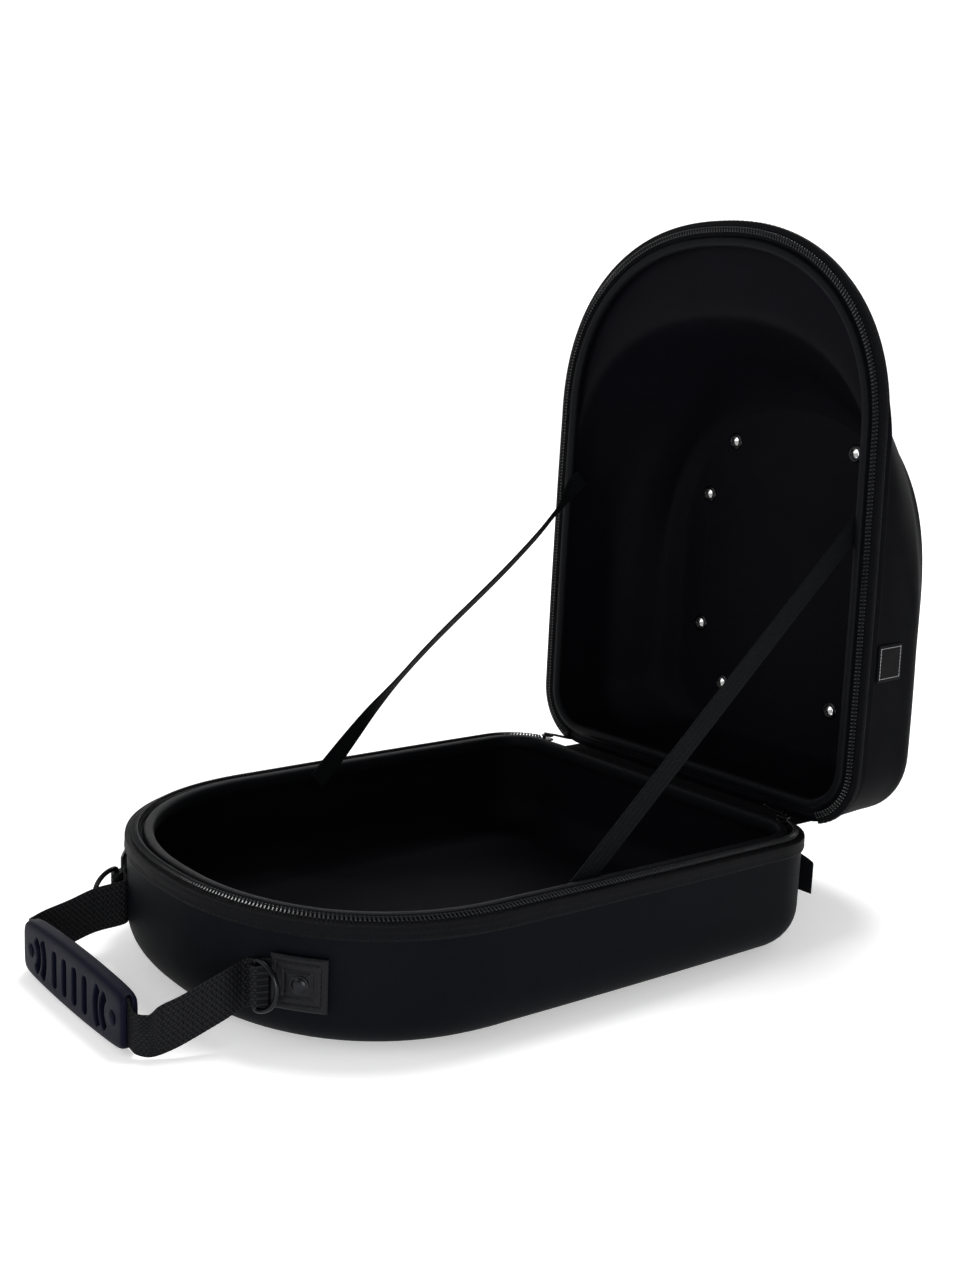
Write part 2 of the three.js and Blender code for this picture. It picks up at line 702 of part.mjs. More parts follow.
// Shares from the wall to the grip: out of the way to the grip's plane, bulge of the webbing's
// width beyond a straight run, drop of the way down to the webbing's lowest place
const rightFree = [
  { out: 0.23, bulge: 0.23, drop: 0.16 },
  { out: 0.47, bulge: 0.27, drop: 0.5 },
  { out: 0.68, bulge: 0.29, drop: 0.78 },
  { out: 0.86, bulge: 0.26, drop: 0.95 },
  { out: 0.97, bulge: 0.16, drop: 0.9 },
];
const leftFree = [
  { out: 0.29, bulge: 0.19, drop: 0.22 },
  { out: 0.55, bulge: 0.3, drop: 0.53 },
  { out: 0.78, bulge: 0.37, drop: 0.75 },
  { out: 0.92, bulge: 0.3, drop: 0.85 },
  { out: 0.99, bulge: 0.13, drop: 0.8 },
];
const webOnWall = clearance;
function webbingGeometry() {
  const inGrip = (x) => new THREE.Vector3(x, -gripReach, gripMiddle);
  const wallPart = (side) => {
    const held = wallStrip(side, webLeave, patchTo - 2, webOnWall, webWidth, patchMiddle, webThick, 6);
    held.forEach((station, i) => {
      // The webbing dips towards its free end
      station.middle.z -= webDip * (1 - i / (held.length - 1)) ** 2;
    });
    return held.reverse();
  };
  const right = wallPart(1);
  const left = wallPart(-1).reverse();
  const freePart = (side, table, leave) => table.map(({ out, bulge, drop }) => {
    const point = leave.clone().lerp(inGrip(gripShift + side * gripEnd), out);
    point.x += side * bulge * webWidth;
    return point.setZ(leave.z + drop * (webLow - leave.z));
  });
  const free = [
    ...freePart(1, rightFree, right[right.length - 1].middle),
    inGrip(gripShift + gripEnd),
    inGrip(gripShift + gripEnd - gripRivetInset),
    inGrip(gripShift - gripEnd + gripRivetInset),
    inGrip(gripShift - gripEnd),
    ...freePart(-1, leftFree, left[0].middle).reverse(),
  ];
  const all = [right[right.length - 1].middle, ...free, left[0].middle];
  const freeStations = free.map((middle, i) => {
    const along = all[i + 2].clone().sub(all[i]).setZ(0).normalize();
    return { middle, across: up, through: new THREE.Vector3(-along.y, along.x, 0) };
  });
  const flip = ({ middle, across, through }) => ({ middle, across, through: through.clone().negate() });
  const start = Math.sign(freeStations[0].through.dot(right[right.length - 1].through));
  const finishTurn = Math.sign(freeStations[freeStations.length - 1].through.dot(left[0].through));
  return ribbon([
    ...(start < 0 ? right.map(flip) : right),
    ...freeStations,
    ...(finishTurn < 0 ? left.map(flip) : left),
  ], webWidth, webThick);
}
addPiece(tray, 'handle_webbing', webbingGeometry(), webbingCloth);

// Moulded grip: a bulged bar round the webbing, with slots open to the webbing in its front
function gripGeometry() {
  const bevel = 1.4;
  const half = gripEnd - bevel;
  const middleHigh = gripHeight / 2 - bevel;
  const endHigh = gripEndHeight / 2 - bevel;
  const round = 6;
  const body = new THREE.Shape();
  body.moveTo(-half + round, -endHigh);
  body.quadraticCurveTo(0, -2 * middleHigh + endHigh, half - round, -endHigh);
  body.quadraticCurveTo(half, -endHigh, half, -endHigh + round);
  body.lineTo(half, endHigh - round);
  body.quadraticCurveTo(half, endHigh, half - round, endHigh);
  body.quadraticCurveTo(0, 2 * middleHigh - endHigh, -half + round, endHigh);
  body.quadraticCurveTo(-half, endHigh, -half, endHigh - round);
  body.lineTo(-half, -endHigh + round);
  body.quadraticCurveTo(-half, -endHigh, -half + round, -endHigh);
  const bar = new THREE.ExtrudeGeometry(body, {
    depth: gripThick - 2 * bevel, bevelEnabled: true, bevelSize: bevel, bevelThickness: bevel, bevelSegments: 2, curveSegments: 8,
  });
  bar.translate(0, 0, -(gripThick - 2 * bevel) / 2);
  const tunnel = new THREE.BoxGeometry(gripLength + 2, webWidth + 2 * clearance, webThick + 2 * clearance);
  const cutters = [tunnel];
  const slotDeep = gripThick / 2 + 1;
  const slot = (shape) => new THREE.ExtrudeGeometry(shape, { depth: slotDeep, bevelEnabled: false, curveSegments: 5 });
  for (const place of [-1.5, -0.5, 0.5, 1.5]) {
    const shape = new THREE.Shape();
    const r = slotWidth / 2;
    shape.absarc(place * slotPitch, slotHeight / 2 - r, r, 0, Math.PI, false);
    shape.absarc(place * slotPitch, -slotHeight / 2 + r, r, Math.PI, 2 * Math.PI, false);
    cutters.push(slot(shape));
  }
  for (const side of [-1, 1]) {
    for (const radius of slotArcs) {
      const shape = new THREE.Shape();
      const centre = side * (gripEnd - gripRivetInset);
      const span = radians(slotArcSpan) / 2;
      const facing = side > 0 ? Math.PI : 0;
      const reach = Math.min(span, Math.asin(Math.min(1, (slotHeight / 2) / radius)));
      shape.absarc(centre, 0, radius + slotWidth / 2, facing - reach, facing + reach, false);
      shape.absarc(centre, 0, radius - slotWidth / 2, facing + reach, facing - reach, true);
      cutters.push(slot(shape));
    }
  }
  // The shape's own plane becomes XZ, with the slotted face towards -Y
  const grip = cut(bar, cutters);
  grip.rotateX(Math.PI / 2);
  return grip.translate(gripShift, -gripReach, gripMiddle);
}
addPiece(tray, 'handle_grip', gripGeometry(), gripRubber);

// A low round rivet head on its seat, standing up along Z
function rivetGeometry(radius, high) {
  const profile = [[0, 0], [radius, 0], [radius, high * 0.35], [radius * 0.75, high * 0.85], [0, high]];
  const head = new THREE.LatheGeometry(profile.map(([r, h]) => new THREE.Vector2(r, h)), eyeletSides);
  head.rotateX(Math.PI / 2);
  return faceOut(weld(head));
}

for (const side of [1, -1]) {
  const name = side > 0 ? 'right' : 'left';
  const gripRivet = addPiece(tray, `grip_rivet_${name}`, rivetGeometry(gripRivetRadius, gripRivetHigh), gripRubber);
  gripRivet.rotation.x = Math.PI / 2;
  gripRivet.position.set(gripShift + side * (gripEnd - gripRivetInset), -gripReach - gripThick / 2 - clearance, gripMiddle);

  // Leather patch over the webbing's end
  const patchOffset = webOnWall + webThick + clearance;
  const patch = ribbon(wallStrip(side, patchFrom, patchTo, patchOffset, patchHeight, patchMiddle, patchThick), patchHeight, patchThick);
  addPiece(tray, `anchor_patch_${name}`, patch, leather);

  // Rivet in the patch's middle
  const rivetPlace = wallPlace(side * ((patchFrom + patchTo) / 2 + 1));
  const rivet = addPiece(tray, `anchor_rivet_${name}`, rivetGeometry(patchRivetRadius, patchRivetHigh), blackMetal);
  const turn = new THREE.Matrix4().makeBasis(rivetPlace.along.clone().multiplyScalar(side), up, rivetPlace.out.clone());
  rivet.quaternion.setFromRotationMatrix(turn);
  rivet.position.copy(rivetPlace.spot).addScaledVector(rivetPlace.out, patchOffset + patchThick + clearance + 0.15).setZ(patchMiddle);

  // D-ring and the webbing loop that keeps its straight bar against the wall
  const keeperRadius = ringWire + clearance + keeperWall;
  const barPlace = wallPlace(side * (patchFrom - keeperTail - keeperRadius));
  const barOffset = webOnWall + webThick + clearance + keeperRadius;
  const bar = barPlace.spot.clone().addScaledVector(barPlace.out, barOffset).setZ(ringMiddle);

  const keeperShape = new THREE.Shape();
  const tailTop = keeperWall - keeperRadius;
  keeperShape.absarc(0, 0, keeperRadius, -Math.PI / 2, Math.asin(tailTop / keeperRadius), true);
  keeperShape.lineTo(keeperRadius + keeperTail - clearance, tailTop);
  keeperShape.lineTo(keeperRadius + keeperTail - clearance, -keeperRadius);
  keeperShape.closePath();
  keeperShape.holes.push(new THREE.Path().absarc(0, 0, ringWire + clearance, 0, 2 * Math.PI, false));
  const keeper = new THREE.ExtrudeGeometry(keeperShape, { depth: keeperHeight, bevelEnabled: false, curveSegments: 8 });
  keeper.translate(0, 0, -keeperHeight / 2);
  const keeperTurn = new THREE.Matrix4().makeBasis(barPlace.along, barPlace.out, up).setPosition(bar);
  addPiece(tray, `ring_keeper_${name}`, faceOut(weld(keeper.applyMatrix4(keeperTurn))), webbingCloth);

  const lean = radians(side > 0 ? ringTiltRight : ringTiltLeft);
  const ringAlong = barPlace.along.clone().multiplyScalar(Math.cos(lean)).addScaledVector(barPlace.out, Math.sin(lean));
  const ringOut = barPlace.out.clone().multiplyScalar(Math.cos(lean)).addScaledVector(barPlace.along, -Math.sin(lean));
  const bowHigh = ringHeight / 2 - ringWire;
  const bowDeep = ringDepth - 2 * ringWire;
  const path = [];
  const bowSteps = 12;
  for (let i = 0; i <= bowSteps; i += 1) {
    const angle = -Math.PI / 2 + (i / bowSteps) * Math.PI;
    path.push(bar.clone().addScaledVector(up, bowHigh * Math.sin(angle)).addScaledVector(ringAlong, bowDeep * Math.cos(angle)));
  }
  path.push(bar.clone().addScaledVector(up, bowHigh * 0.5), bar.clone().addScaledVector(up, -bowHigh * 0.5));
  const loops = path.map((point, i) => {
    const before = path[(i + path.length - 1) % path.length];
    const after = path[(i + 1) % path.length];
    const along = after.clone().sub(before).normalize();
    const inPlane = new THREE.Vector3().crossVectors(along, ringOut);
    const loop = [];
    for (let k = 0; k < wireSides; k += 1) {
      const angle = (k / wireSides) * 2 * Math.PI;
      loop.push(point.clone().addScaledVector(ringOut, ringWire * Math.cos(angle)).addScaledVector(inPlane, ringWire * Math.sin(angle)));
    }
    return loop;
  });
  addPiece(tray, `d_ring_${name}`, skin(loops, { closed: true }), blackMetal);
}

// Label on the crown's right side: a thin plate that follows the wall, drawn out along Y
function labelGeometry() {
  const bendDepth = brimDepth + crownSections[1].height * (crownDepth - brimDepth);
  const low = brimDepth + labelRise;
  const depths = [low, bendDepth, low + labelHeight];
  return skin([-1, 1].map((end) => {
    const place = labelPlace + (end * labelWidth) / 2;
    const face = (offset) => depths.map((depth) => new THREE.Vector3(crownHalfWidth(depth, place) + offset, place, depth));
    return [...face(clearance), ...face(clearance + labelThick).reverse()];
  }));
}
addPiece(lid, 'lid_label', labelGeometry(), labelCloth);

export default root;
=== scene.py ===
# %% [markdown]
# # A carrier case for caps, dressed in Blender
#
# The case is two moulded shells of foam with cloth on both sides. A zip runs round both rims, a strip
# of cloth hinges them, and two straps stop the lid. In front is a handle of webbing with a soft grip.
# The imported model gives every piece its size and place. This lesson puts a fine surface over each
# solid: we work a shape out as a grid of points with numpy, and hand the whole grid to Blender.

# %% Load the frame
import bmesh
import bpy
import numpy as np
from mathutils import Matrix, Vector


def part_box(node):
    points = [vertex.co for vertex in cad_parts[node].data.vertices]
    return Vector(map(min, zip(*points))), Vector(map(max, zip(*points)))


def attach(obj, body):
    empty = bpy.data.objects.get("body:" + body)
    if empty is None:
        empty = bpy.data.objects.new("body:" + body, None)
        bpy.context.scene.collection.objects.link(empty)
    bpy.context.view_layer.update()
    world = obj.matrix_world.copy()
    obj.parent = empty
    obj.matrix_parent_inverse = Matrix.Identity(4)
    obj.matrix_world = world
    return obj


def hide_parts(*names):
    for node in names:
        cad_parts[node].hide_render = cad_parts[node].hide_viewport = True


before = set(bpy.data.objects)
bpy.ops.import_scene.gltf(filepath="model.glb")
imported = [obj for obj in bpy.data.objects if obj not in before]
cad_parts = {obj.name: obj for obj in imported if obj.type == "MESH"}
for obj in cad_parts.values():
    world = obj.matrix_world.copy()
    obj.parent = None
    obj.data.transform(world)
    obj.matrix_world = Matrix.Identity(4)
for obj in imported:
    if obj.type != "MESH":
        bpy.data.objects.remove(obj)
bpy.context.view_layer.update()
print("nodes in the frame:", len(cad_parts))

# %% [markdown]
# ## Sizes
#
# All lengths below are millimetres, as on a maker's drawing, and each mesh is turned into metres when it
# is made. The large sizes are measured on the frame's own solids, so the looks follow the model. The
# small ones, such as a coil's pitch, are the real article's.

# %% Measure the frame
MM = 0.001


def corners(node):
    """Lowest and highest corner of a solid, in mm."""
    low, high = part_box(node)
    return np.array(low) / MM, np.array(high) / MM


tray_low, tray_high = corners("base_tray")
lid_low, lid_high = corners("lid_shell")
tray_band_low, tray_band_high = corners("tray_rim_band")
lid_band_low, lid_band_high = corners("lid_rim_band")

CHAIN_TOP = 0.3  # the rim trim stands this far above each rim plane
CASE_WIDTH = tray_high[0] - tray_low[0]
CASE_LENGTH = tray_high[1] - tray_low[1]
FRONT_TIP = tray_low[1]
TRAY_RIM = tray_band_high[2] - CHAIN_TOP
LID_PLANE = lid_band_low[1] + CHAIN_TOP
LID_TIP = lid_high[2]
CROWN_DEPTH = lid_high[1] - LID_PLANE
FRONT_ARCH = 116.0
ARCH_POWER = 2 / 2.25
SIDE_FLARE = 2.7
BACK_CORNER = 34.0
LEAST_CORNER = 4.0
SHELL_WALL = 5.0
CLOTH_WALL = 2.4  # the outer half of a shell; the lining is the inner half
SKIN_GAP = 0.2  # between the two
print("case", CASE_WIDTH, "by", CASE_LENGTH, "tray rim", TRAY_RIM, "lid plane", LID_PLANE)

# %% [markdown]
# ## Camera
#
# The photograph was taken from the right of the handle, a little above the lid's middle, with a long
# lens. The camera's place, its three angles and its focal length were fitted to the two rims.

# %% Place the camera
CAMERA_PLACE = (620.49, -475.6, 311.39)
CAMERA_YAW = np.radians(51.408)
CAMERA_PITCH = np.radians(10.897)
CAMERA_ROLL = np.radians(2.3956)
FOCAL_PIXELS = 1544.32
PHOTO_HEIGHT = 1274
SENSOR = 36.0


def camera_axes(yaw, pitch, roll):
    """Right, up and back of a camera that looks along +Y turned by yaw, down by pitch, then rolled."""
    forward = Vector((-np.sin(yaw) * np.cos(pitch), np.cos(yaw) * np.cos(pitch), -np.sin(pitch)))
    level = forward.cross(Vector((0, 0, 1))).normalized()
    above = level.cross(forward)
    right = np.cos(roll) * level + np.sin(roll) * above
    up = np.cos(roll) * above - np.sin(roll) * level
    return right, up, -forward


camera = bpy.data.objects.new("camera", bpy.data.cameras.new("camera"))
bpy.context.scene.collection.objects.link(camera)
turn = Matrix(camera_axes(CAMERA_YAW, CAMERA_PITCH, CAMERA_ROLL)).transposed().to_4x4()
camera.matrix_world = Matrix.Translation(Vector(CAMERA_PLACE) * MM) @ turn
camera.data.sensor_width = SENSOR
camera.data.lens = FOCAL_PIXELS / PHOTO_HEIGHT * SENSOR
camera.data.clip_end = 50
bpy.context.scene.camera = camera
print("lens", round(camera.data.lens, 2), "mm")

# %% [markdown]
# ## A grid becomes a mesh
#
# Every shape here is a grid: rows along a profile, columns along a path. The faces of a grid follow from
# its row and column numbers alone, so one function serves them all. It also writes a UV map whose unit is
# one millimetre, which lets a weave keep its scale on a bent surface.

# %% Mesh helpers
SHARP = np.radians(38)
UP = np.array((0, 0, 1.0))


def new_piece(name, mesh):
    """An object at the origin that holds the mesh, smooth where its faces meet at a low angle."""
    mesh.shade_smooth()
    mesh.set_sharp_from_angle(angle=SHARP)
    piece = bpy.data.objects.new(name, mesh)
    bpy.context.scene.collection.objects.link(piece)
    return piece


def tidy_mesh(mesh, weld=2e-6):
    """Merges doubles, which closes poles, and turns all faces outwards on a closed mesh."""
    work = bmesh.new()
    work.from_mesh(mesh)
    bmesh.ops.remove_doubles(work, verts=work.verts, dist=weld)
    bmesh.ops.dissolve_degenerate(work, edges=work.edges, dist=weld)
    bmesh.ops.recalc_face_normals(work, faces=work.faces)
    work.to_mesh(mesh)
    work.free()


def run_lengths(points):
    """How far each point lies along its row, in mm: the running sum of the steps between points."""
    steps = np.linalg.norm(np.diff(points, axis=-2), axis=-1)
    start = np.zeros(steps.shape[:-1] + (1,))
    return np.concatenate([start, np.cumsum(steps, -1)], -1)


def grid_faces(rows, columns, close_rows, close_columns):
    """Corner numbers of every face, with wrapped and unwrapped row and column numbers.

    Face (r, c) joins (r, c), (r, c + 1), (r + 1, c + 1) and (r + 1, c). On a closed side the number
    after the last one is the first again.
    """
    r, c = np.meshgrid(
        np.arange(rows if close_rows else rows - 1),
        np.arange(columns if close_columns else columns - 1),
        indexing="ij",
    )
    r4 = np.stack([r, r, r + 1, r + 1], -1).reshape(-1, 4)
    c4 = np.stack([c, c + 1, c + 1, c], -1).reshape(-1, 4)
    return (r4 % rows) * columns + c4 % columns, r4, c4


def grid_mesh(name, points, close_rows=False, close_columns=False, caps=False, uv_row=0, weld=2e-6):
    """A mesh from a grid of points, (rows, columns, 3) in mm.

    UV is the distance in mm: u along the row uv_row, v down the first column. With caps, the first and
    the last row of a tube are closed by one face each.
    """
    rows, columns = points.shape[:2]
    faces, r4, c4 = grid_faces(rows, columns, close_rows, close_columns)
    row = points[uv_row]
    column = points[:, 0]
    u = run_lengths(np.concatenate([row, row[:1]])) if close_columns else run_lengths(row)
    v = run_lengths(np.concatenate([column, column[:1]])) if close_rows else run_lengths(column)
    polygons = faces.tolist()
    uv = np.stack([u[c4], v[r4]], -1).reshape(-1, 2)
    if caps:
        last = (rows - 1) * columns
        polygons += [list(range(columns - 1, -1, -1)), list(range(last, last + columns))]
        uv = np.concatenate([uv, np.zeros((2 * columns, 2))])
    mesh = bpy.data.meshes.new(name)
    mesh.from_pydata((points.reshape(-1, 3) * MM).tolist(), [], polygons)
    layer = mesh.uv_layers.new(name="mm")
    layer.data.foreach_set("uv", uv.ravel())
    tidy_mesh(mesh, weld)
    return mesh


def copies_mesh(name, shape, faces, places):
    """Many copies of one small shape in one mesh.

    shape is (points, 3) in mm. places is (copies, 4, 3): an origin and the directions that the shape's
    own X, Y and Z take, so a copy's point is origin + x * X + y * Y + z * Z.
    """
    points = places[:, None, 0] + np.einsum("pk,nkd->npd", shape, places[:, 1:])
    offset = np.arange(len(places))[:, None] * len(shape)
    polygons = []
    for face in faces:
        polygons += (np.array(face)[None] + offset).tolist()
    mesh = bpy.data.meshes.new(name)
    mesh.from_pydata((points.reshape(-1, 3) * MM).tolist(), [], polygons)
    mesh.uv_layers.new(name="mm")
    tidy_mesh(mesh)
    return mesh


def tube_shape(lengths, radii, sides, flat=1.0):
    """A small round bar along X: a ring of points at each length, and its faces with two end caps."""
    angle = np.linspace(0, 2 * np.pi, sides, endpoint=False)
    ring = np.stack([0 * angle, np.cos(angle), flat * np.sin(angle)], -1)
    points = np.array([[x, 0, 0] + ring * (0, r, r) for x, r in zip(lengths, radii)])
    faces, _, _ = grid_faces(len(lengths), sides, False, True)
    last = (len(lengths) - 1) * sides
    ends = [list(range(sides - 1, -1, -1)), list(range(last, last + sides))]
    return points.reshape(-1, 3), faces.tolist() + ends


# %% [markdown]
# Two more helpers shape curves. A chosen handful of points becomes a smooth line that passes through all
# of them, and a line can be walked in even steps, which is how teeth and stitches get their places.

# %% Curve helpers
def through(points, per_span):
    """A smooth line through points: between two of them, the cubic whose slope at each is half the step
    from the point before it to the point after it (Catmull and Rom's rule, with mirrored ends)."""
    points = np.asarray(points, float)
    padded = np.concatenate([2 * points[:1] - points[1:2], points, 2 * points[-1:] - points[-2:-1]])
    t = np.linspace(0, 1, per_span, endpoint=False)[None, :, None]
    a, b, c, d = (padded[k : len(padded) - 3 + k, None] for k in range(4))
    line = 0.5 * (2 * b + (c - a) * t + (2 * a - 5 * b + 4 * c - d) * t**2 + (3 * b - a - 3 * c + d) * t**3)
    return np.concatenate([line.reshape(-1, points.shape[1]), points[-1:]])


def cut_corners(loop, rounds):
    """Rounds a closed loop: each side keeps the points a quarter and three quarters along it."""
    for _ in range(rounds):
        ahead = np.roll(loop, -1, 0)
        near, far = 0.75 * loop + 0.25 * ahead, 0.25 * loop + 0.75 * ahead
        loop = np.stack([near, far], 1).reshape(-1, loop.shape[1])
    return loop


def walk(points, spacing, start=0.0, stop=None):
    """Places at an even spacing along a line, with the unit direction of the line at each."""
    lengths = run_lengths(points)
    stop = lengths[-1] if stop is None else stop
    at = np.arange(start, stop, spacing)
    place = np.stack([np.interp(at, lengths, points[:, k]) for k in range(3)], -1)
    ahead = np.stack([np.interp(at + 0.4, lengths, points[:, k]) for k in range(3)], -1)
    behind = np.stack([np.interp(at - 0.4, lengths, points[:, k]) for k in range(3)], -1)
    return place, unit(ahead - behind)


def unit(vectors):
    """Vectors brought to length one."""
    return vectors / np.maximum(np.linalg.norm(vectors, axis=-1, keepdims=True), 1e-9)


def squarer(value, power):
    """A sine or cosine drawn towards 1 and -1: sign(v) |v|^power."""
    return np.sign(value) * np.abs(value) ** power


def square_lines(low, high):
    """The four sides of a rectangle between two corners, each as a line of evenly spaced points."""
    ends = np.array([low, (high[0], low[1]), high, (low[0], high[1])], float)
    t = np.linspace(0, 1, 12)[:, None]
    return [start + t * (stop - start) for start, stop in zip(ends, np.roll(ends, -1, 0))]


def ease(value, low, high):
    """0 below low, 1 above high and a soft S between: t * t * (3 - 2 t)."""
    t = np.clip((value - low) / (high - low), 0, 1)
    return t * t * (3 - 2 * t)


# %% [markdown]
# ## The outline of the case
#
# Seen from above, both halves have one outline: a rounded handle end, a little squarer than half an
# ellipse, sides that flare slightly towards the hinge, and two round corners. It starts at the front tip
# and runs round to the right. An inset moves it inwards by the same distance all round, so walls, rims,
# tapes and teeth all come from this one function.

# %% Outline and the two halves' places
ARCH_POINTS, SIDE_POINTS, CORNER_POINTS, BACK_POINTS = 46, 22, 14, 14
HALF_POINTS = ARCH_POINTS + SIDE_POINTS + CORNER_POINTS + BACK_POINTS
ZIP_END = ARCH_POINTS + SIDE_POINTS + round(CORNER_POINTS * 70 / 90)  # the zip stops 70 degrees round


def plan(half, front, arch, back, corner, flare=SIDE_FLARE):
    """Outlines as (rows, columns, 2), one row for each value of the sizes.

    The front end is x = (half - flare) sin(a)^p and y = front + arch (1 - cos(a)^p), with p = 2 / 2.25.
    A side is x = half - flare (1 - t)^2. Then come a quarter circle and the back, and all of it mirrored.
    """
    sizes = [np.asarray(v, float).reshape(-1, 1) for v in (half, front, arch, back, corner, flare)]
    half, front, arch, back, corner, flare = np.broadcast_arrays(*sizes)
    a = np.linspace(0, np.pi / 2, ARCH_POINTS, endpoint=False)
    side = np.linspace(0, 1, SIDE_POINTS, endpoint=False)
    b = np.linspace(0, np.pi / 2, CORNER_POINTS, endpoint=False)
    rest = np.linspace(0, 1, BACK_POINTS, endpoint=False)
    start, stop = front + arch, back - corner
    x = [(half - flare) * np.sin(a) ** ARCH_POWER, half - flare * (1 - side) ** 2]
    x += [half - corner + corner * np.cos(b), (half - corner) * (1 - rest)]
    y = [front + arch * (1 - np.cos(a) ** ARCH_POWER), start + (stop - start) * side]
    y += [stop + corner * np.sin(b), back + 0 * rest]
    right = np.stack([np.concatenate(x, 1), np.concatenate(y, 1)], -1)
    middle = np.stack([0 * back, back], -1)
    left = right[:, :0:-1] * (-1, 1)
    return np.concatenate([right, middle, left], 1)


def case_plan(inset):
    """The case's outline moved inwards by each inset."""
    inset = np.atleast_1d(np.asarray(inset, float))
    corner = np.maximum(BACK_CORNER - inset, LEAST_CORNER)
    return plan(CASE_WIDTH / 2 - inset, inset, FRONT_ARCH - inset, CASE_LENGTH - inset, corner)


def on_tray(flat, rise):
    """Points of the outline's plane at a rise above the tray's rim plane."""
    return np.stack([flat[..., 0], FRONT_TIP + flat[..., 1], TRAY_RIM + rise + 0 * flat[..., 0]], -1)


def on_lid(flat, rise):
    """The same for the lid, which stands upright: its rim plane faces the handle."""
    return np.stack([flat[..., 0], LID_PLANE - rise + 0 * flat[..., 0], LID_TIP - flat[..., 1]], -1)


def zip_columns(flat):
    """The part of each outline that the zip follows, from one hinge corner round the front to the other."""
    return np.roll(flat, ZIP_END, axis=1)[:, : 2 * ZIP_END + 1]


print("outline points:", case_plan(0).shape[1])

# %% [markdown]
# ## Writing a finish
#
# A finish is a little network of shader nodes. Wiring nodes by hand is hard to read, so this class wraps
# one output socket and lets plain sums make the Math nodes: `1 - mask * 0.2` is three of them. Anything
# that isn't a sum comes from `node`, which takes a node's type, its settings and its sockets.

# %% Shader sums
class Flow:
    """One output socket of a finish, which can be added, multiplied and compared like a number."""

    def __init__(self, tree, socket):
        self.tree = tree
        self.socket = socket

    def math(self, operation, first, second=0.0):
        """A Math node on two values."""
        return node(self.tree, "ShaderNodeMath", {"operation": operation}, {0: first, 1: second})

    def __add__(self, other):
        return self.math("ADD", self, other)

    def __sub__(self, other):
        return self.math("SUBTRACT", self, other)

    def __rsub__(self, other):
        return self.math("SUBTRACT", other, self)

    def __mul__(self, other):
        return self.math("MULTIPLY", self, other)

    def __truediv__(self, other):
        return self.math("DIVIDE", self, other)

    def __pow__(self, other):
        return self.math("POWER", self, other)

    __radd__ = __add__
    __rmul__ = __mul__

    def sin(self):
        return self.math("SINE", self)

    def abs(self):
        return self.math("ABSOLUTE", self)

    def fraction(self):
        return self.math("FRACT", self)

    def above(self, level):
        """1 where the value is over the level, else 0."""
        return self.math("GREATER_THAN", self, level)

    def larger(self, other):
        return self.math("MAXIMUM", self, other)

    def smaller(self, other):
        return self.math("MINIMUM", self, other)


def node(tree, kind, settings=None, inputs=None, out=0):
    """Adds a node: its settings first, then a value or a link for each named or numbered socket."""
    made = tree.nodes.new(kind)
    for name, value in (settings or {}).items():
        setattr(made, name, value)
    for key, value in (inputs or {}).items():
        if isinstance(value, Flow):
            tree.links.new(value.socket, made.inputs[key])
        else:
            made.inputs[key].default_value = value
    return Flow(tree, made.outputs[out])


def tint(tree, mask, dark, light):
    """A colour between two, by a mask: a Mix node, because Math would turn it grey."""
    return node(
        tree, "ShaderNodeMix", {"data_type": "RGBA"}, {0: mask, 6: (*dark, 1), 7: (*light, 1)}, out=2
    )


def cloud(tree, place, size, detail=3.0):
    """Soft noise from 0 to 1 whose lumps are about size mm across."""
    return node(
        tree, "ShaderNodeTexNoise", {}, {"Vector": place, "Scale": 1 / (size * MM), "Detail": detail}
    )


def axes(tree, vector):
    """The three numbers of a vector."""
    split = node(tree, "ShaderNodeSeparateXYZ", {}, {0: vector})
    return [Flow(tree, split.socket.node.outputs[k]) for k in range(3)]


def finish(name, color, rough, bump_height, bump_depth, **extras):
    """A material whose one shader takes a colour, a roughness and a height map in mm.

    extras are the shader's own sockets, set to a number that is the same all over.
    """
    material = bpy.data.materials.new(name)
    material.use_nodes = True
    tree = material.node_tree
    shader = tree.nodes["Principled BSDF"]
    for key, value in extras.items():
        shader.inputs[key.replace("_", " ")].default_value = value
    for key, value in (("Base Color", color), ("Roughness", rough)):
        made = value(tree)
        tree.links.new(made.socket, shader.inputs[key])
    bumped = node(tree, "ShaderNodeBump", {}, {"Height": bump_height(tree), "Distance": bump_depth * MM})
    tree.links.new(bumped.socket, shader.inputs["Normal"])
    return material


def place_of(tree):
    """The point on the piece in metres, in the case's own frame."""
    return Flow(tree, node(tree, "ShaderNodeTexCoord").socket.node.outputs["Object"])


def millimetres(tree):
    """The piece's UV map, whose unit is a millimetre: along the path, and across it."""
    return axes(tree, node(tree, "ShaderNodeUVMap", {"uv_map": "mm"}))


# %% [markdown]
# ## Black is not one black
#
# Everything on this case is black, so the pieces are told apart by their grain and their sheen. The shell
# is a tight satin knit; on the lid the same cloth gets a darker colour and less gloss, which is painted
# shade. The lining is duller, the tape is a herringbone, the webbing is coarse and ribbed with painted shade
# in its grooves, the patch is pebbled, the grip is a soft navy black, and only wire and eyelets shine.

# %% Cloth of the shells
def pair(dark, light, size):
    """A colour that drifts between two blacks in soft patches."""
    return lambda tree: tint(tree, cloud(tree, place_of(tree), size), dark, light)


def rough_between(low, high, size):
    """A roughness that drifts between two values."""
    return lambda tree: low + (high - low) * cloud(tree, place_of(tree), size)


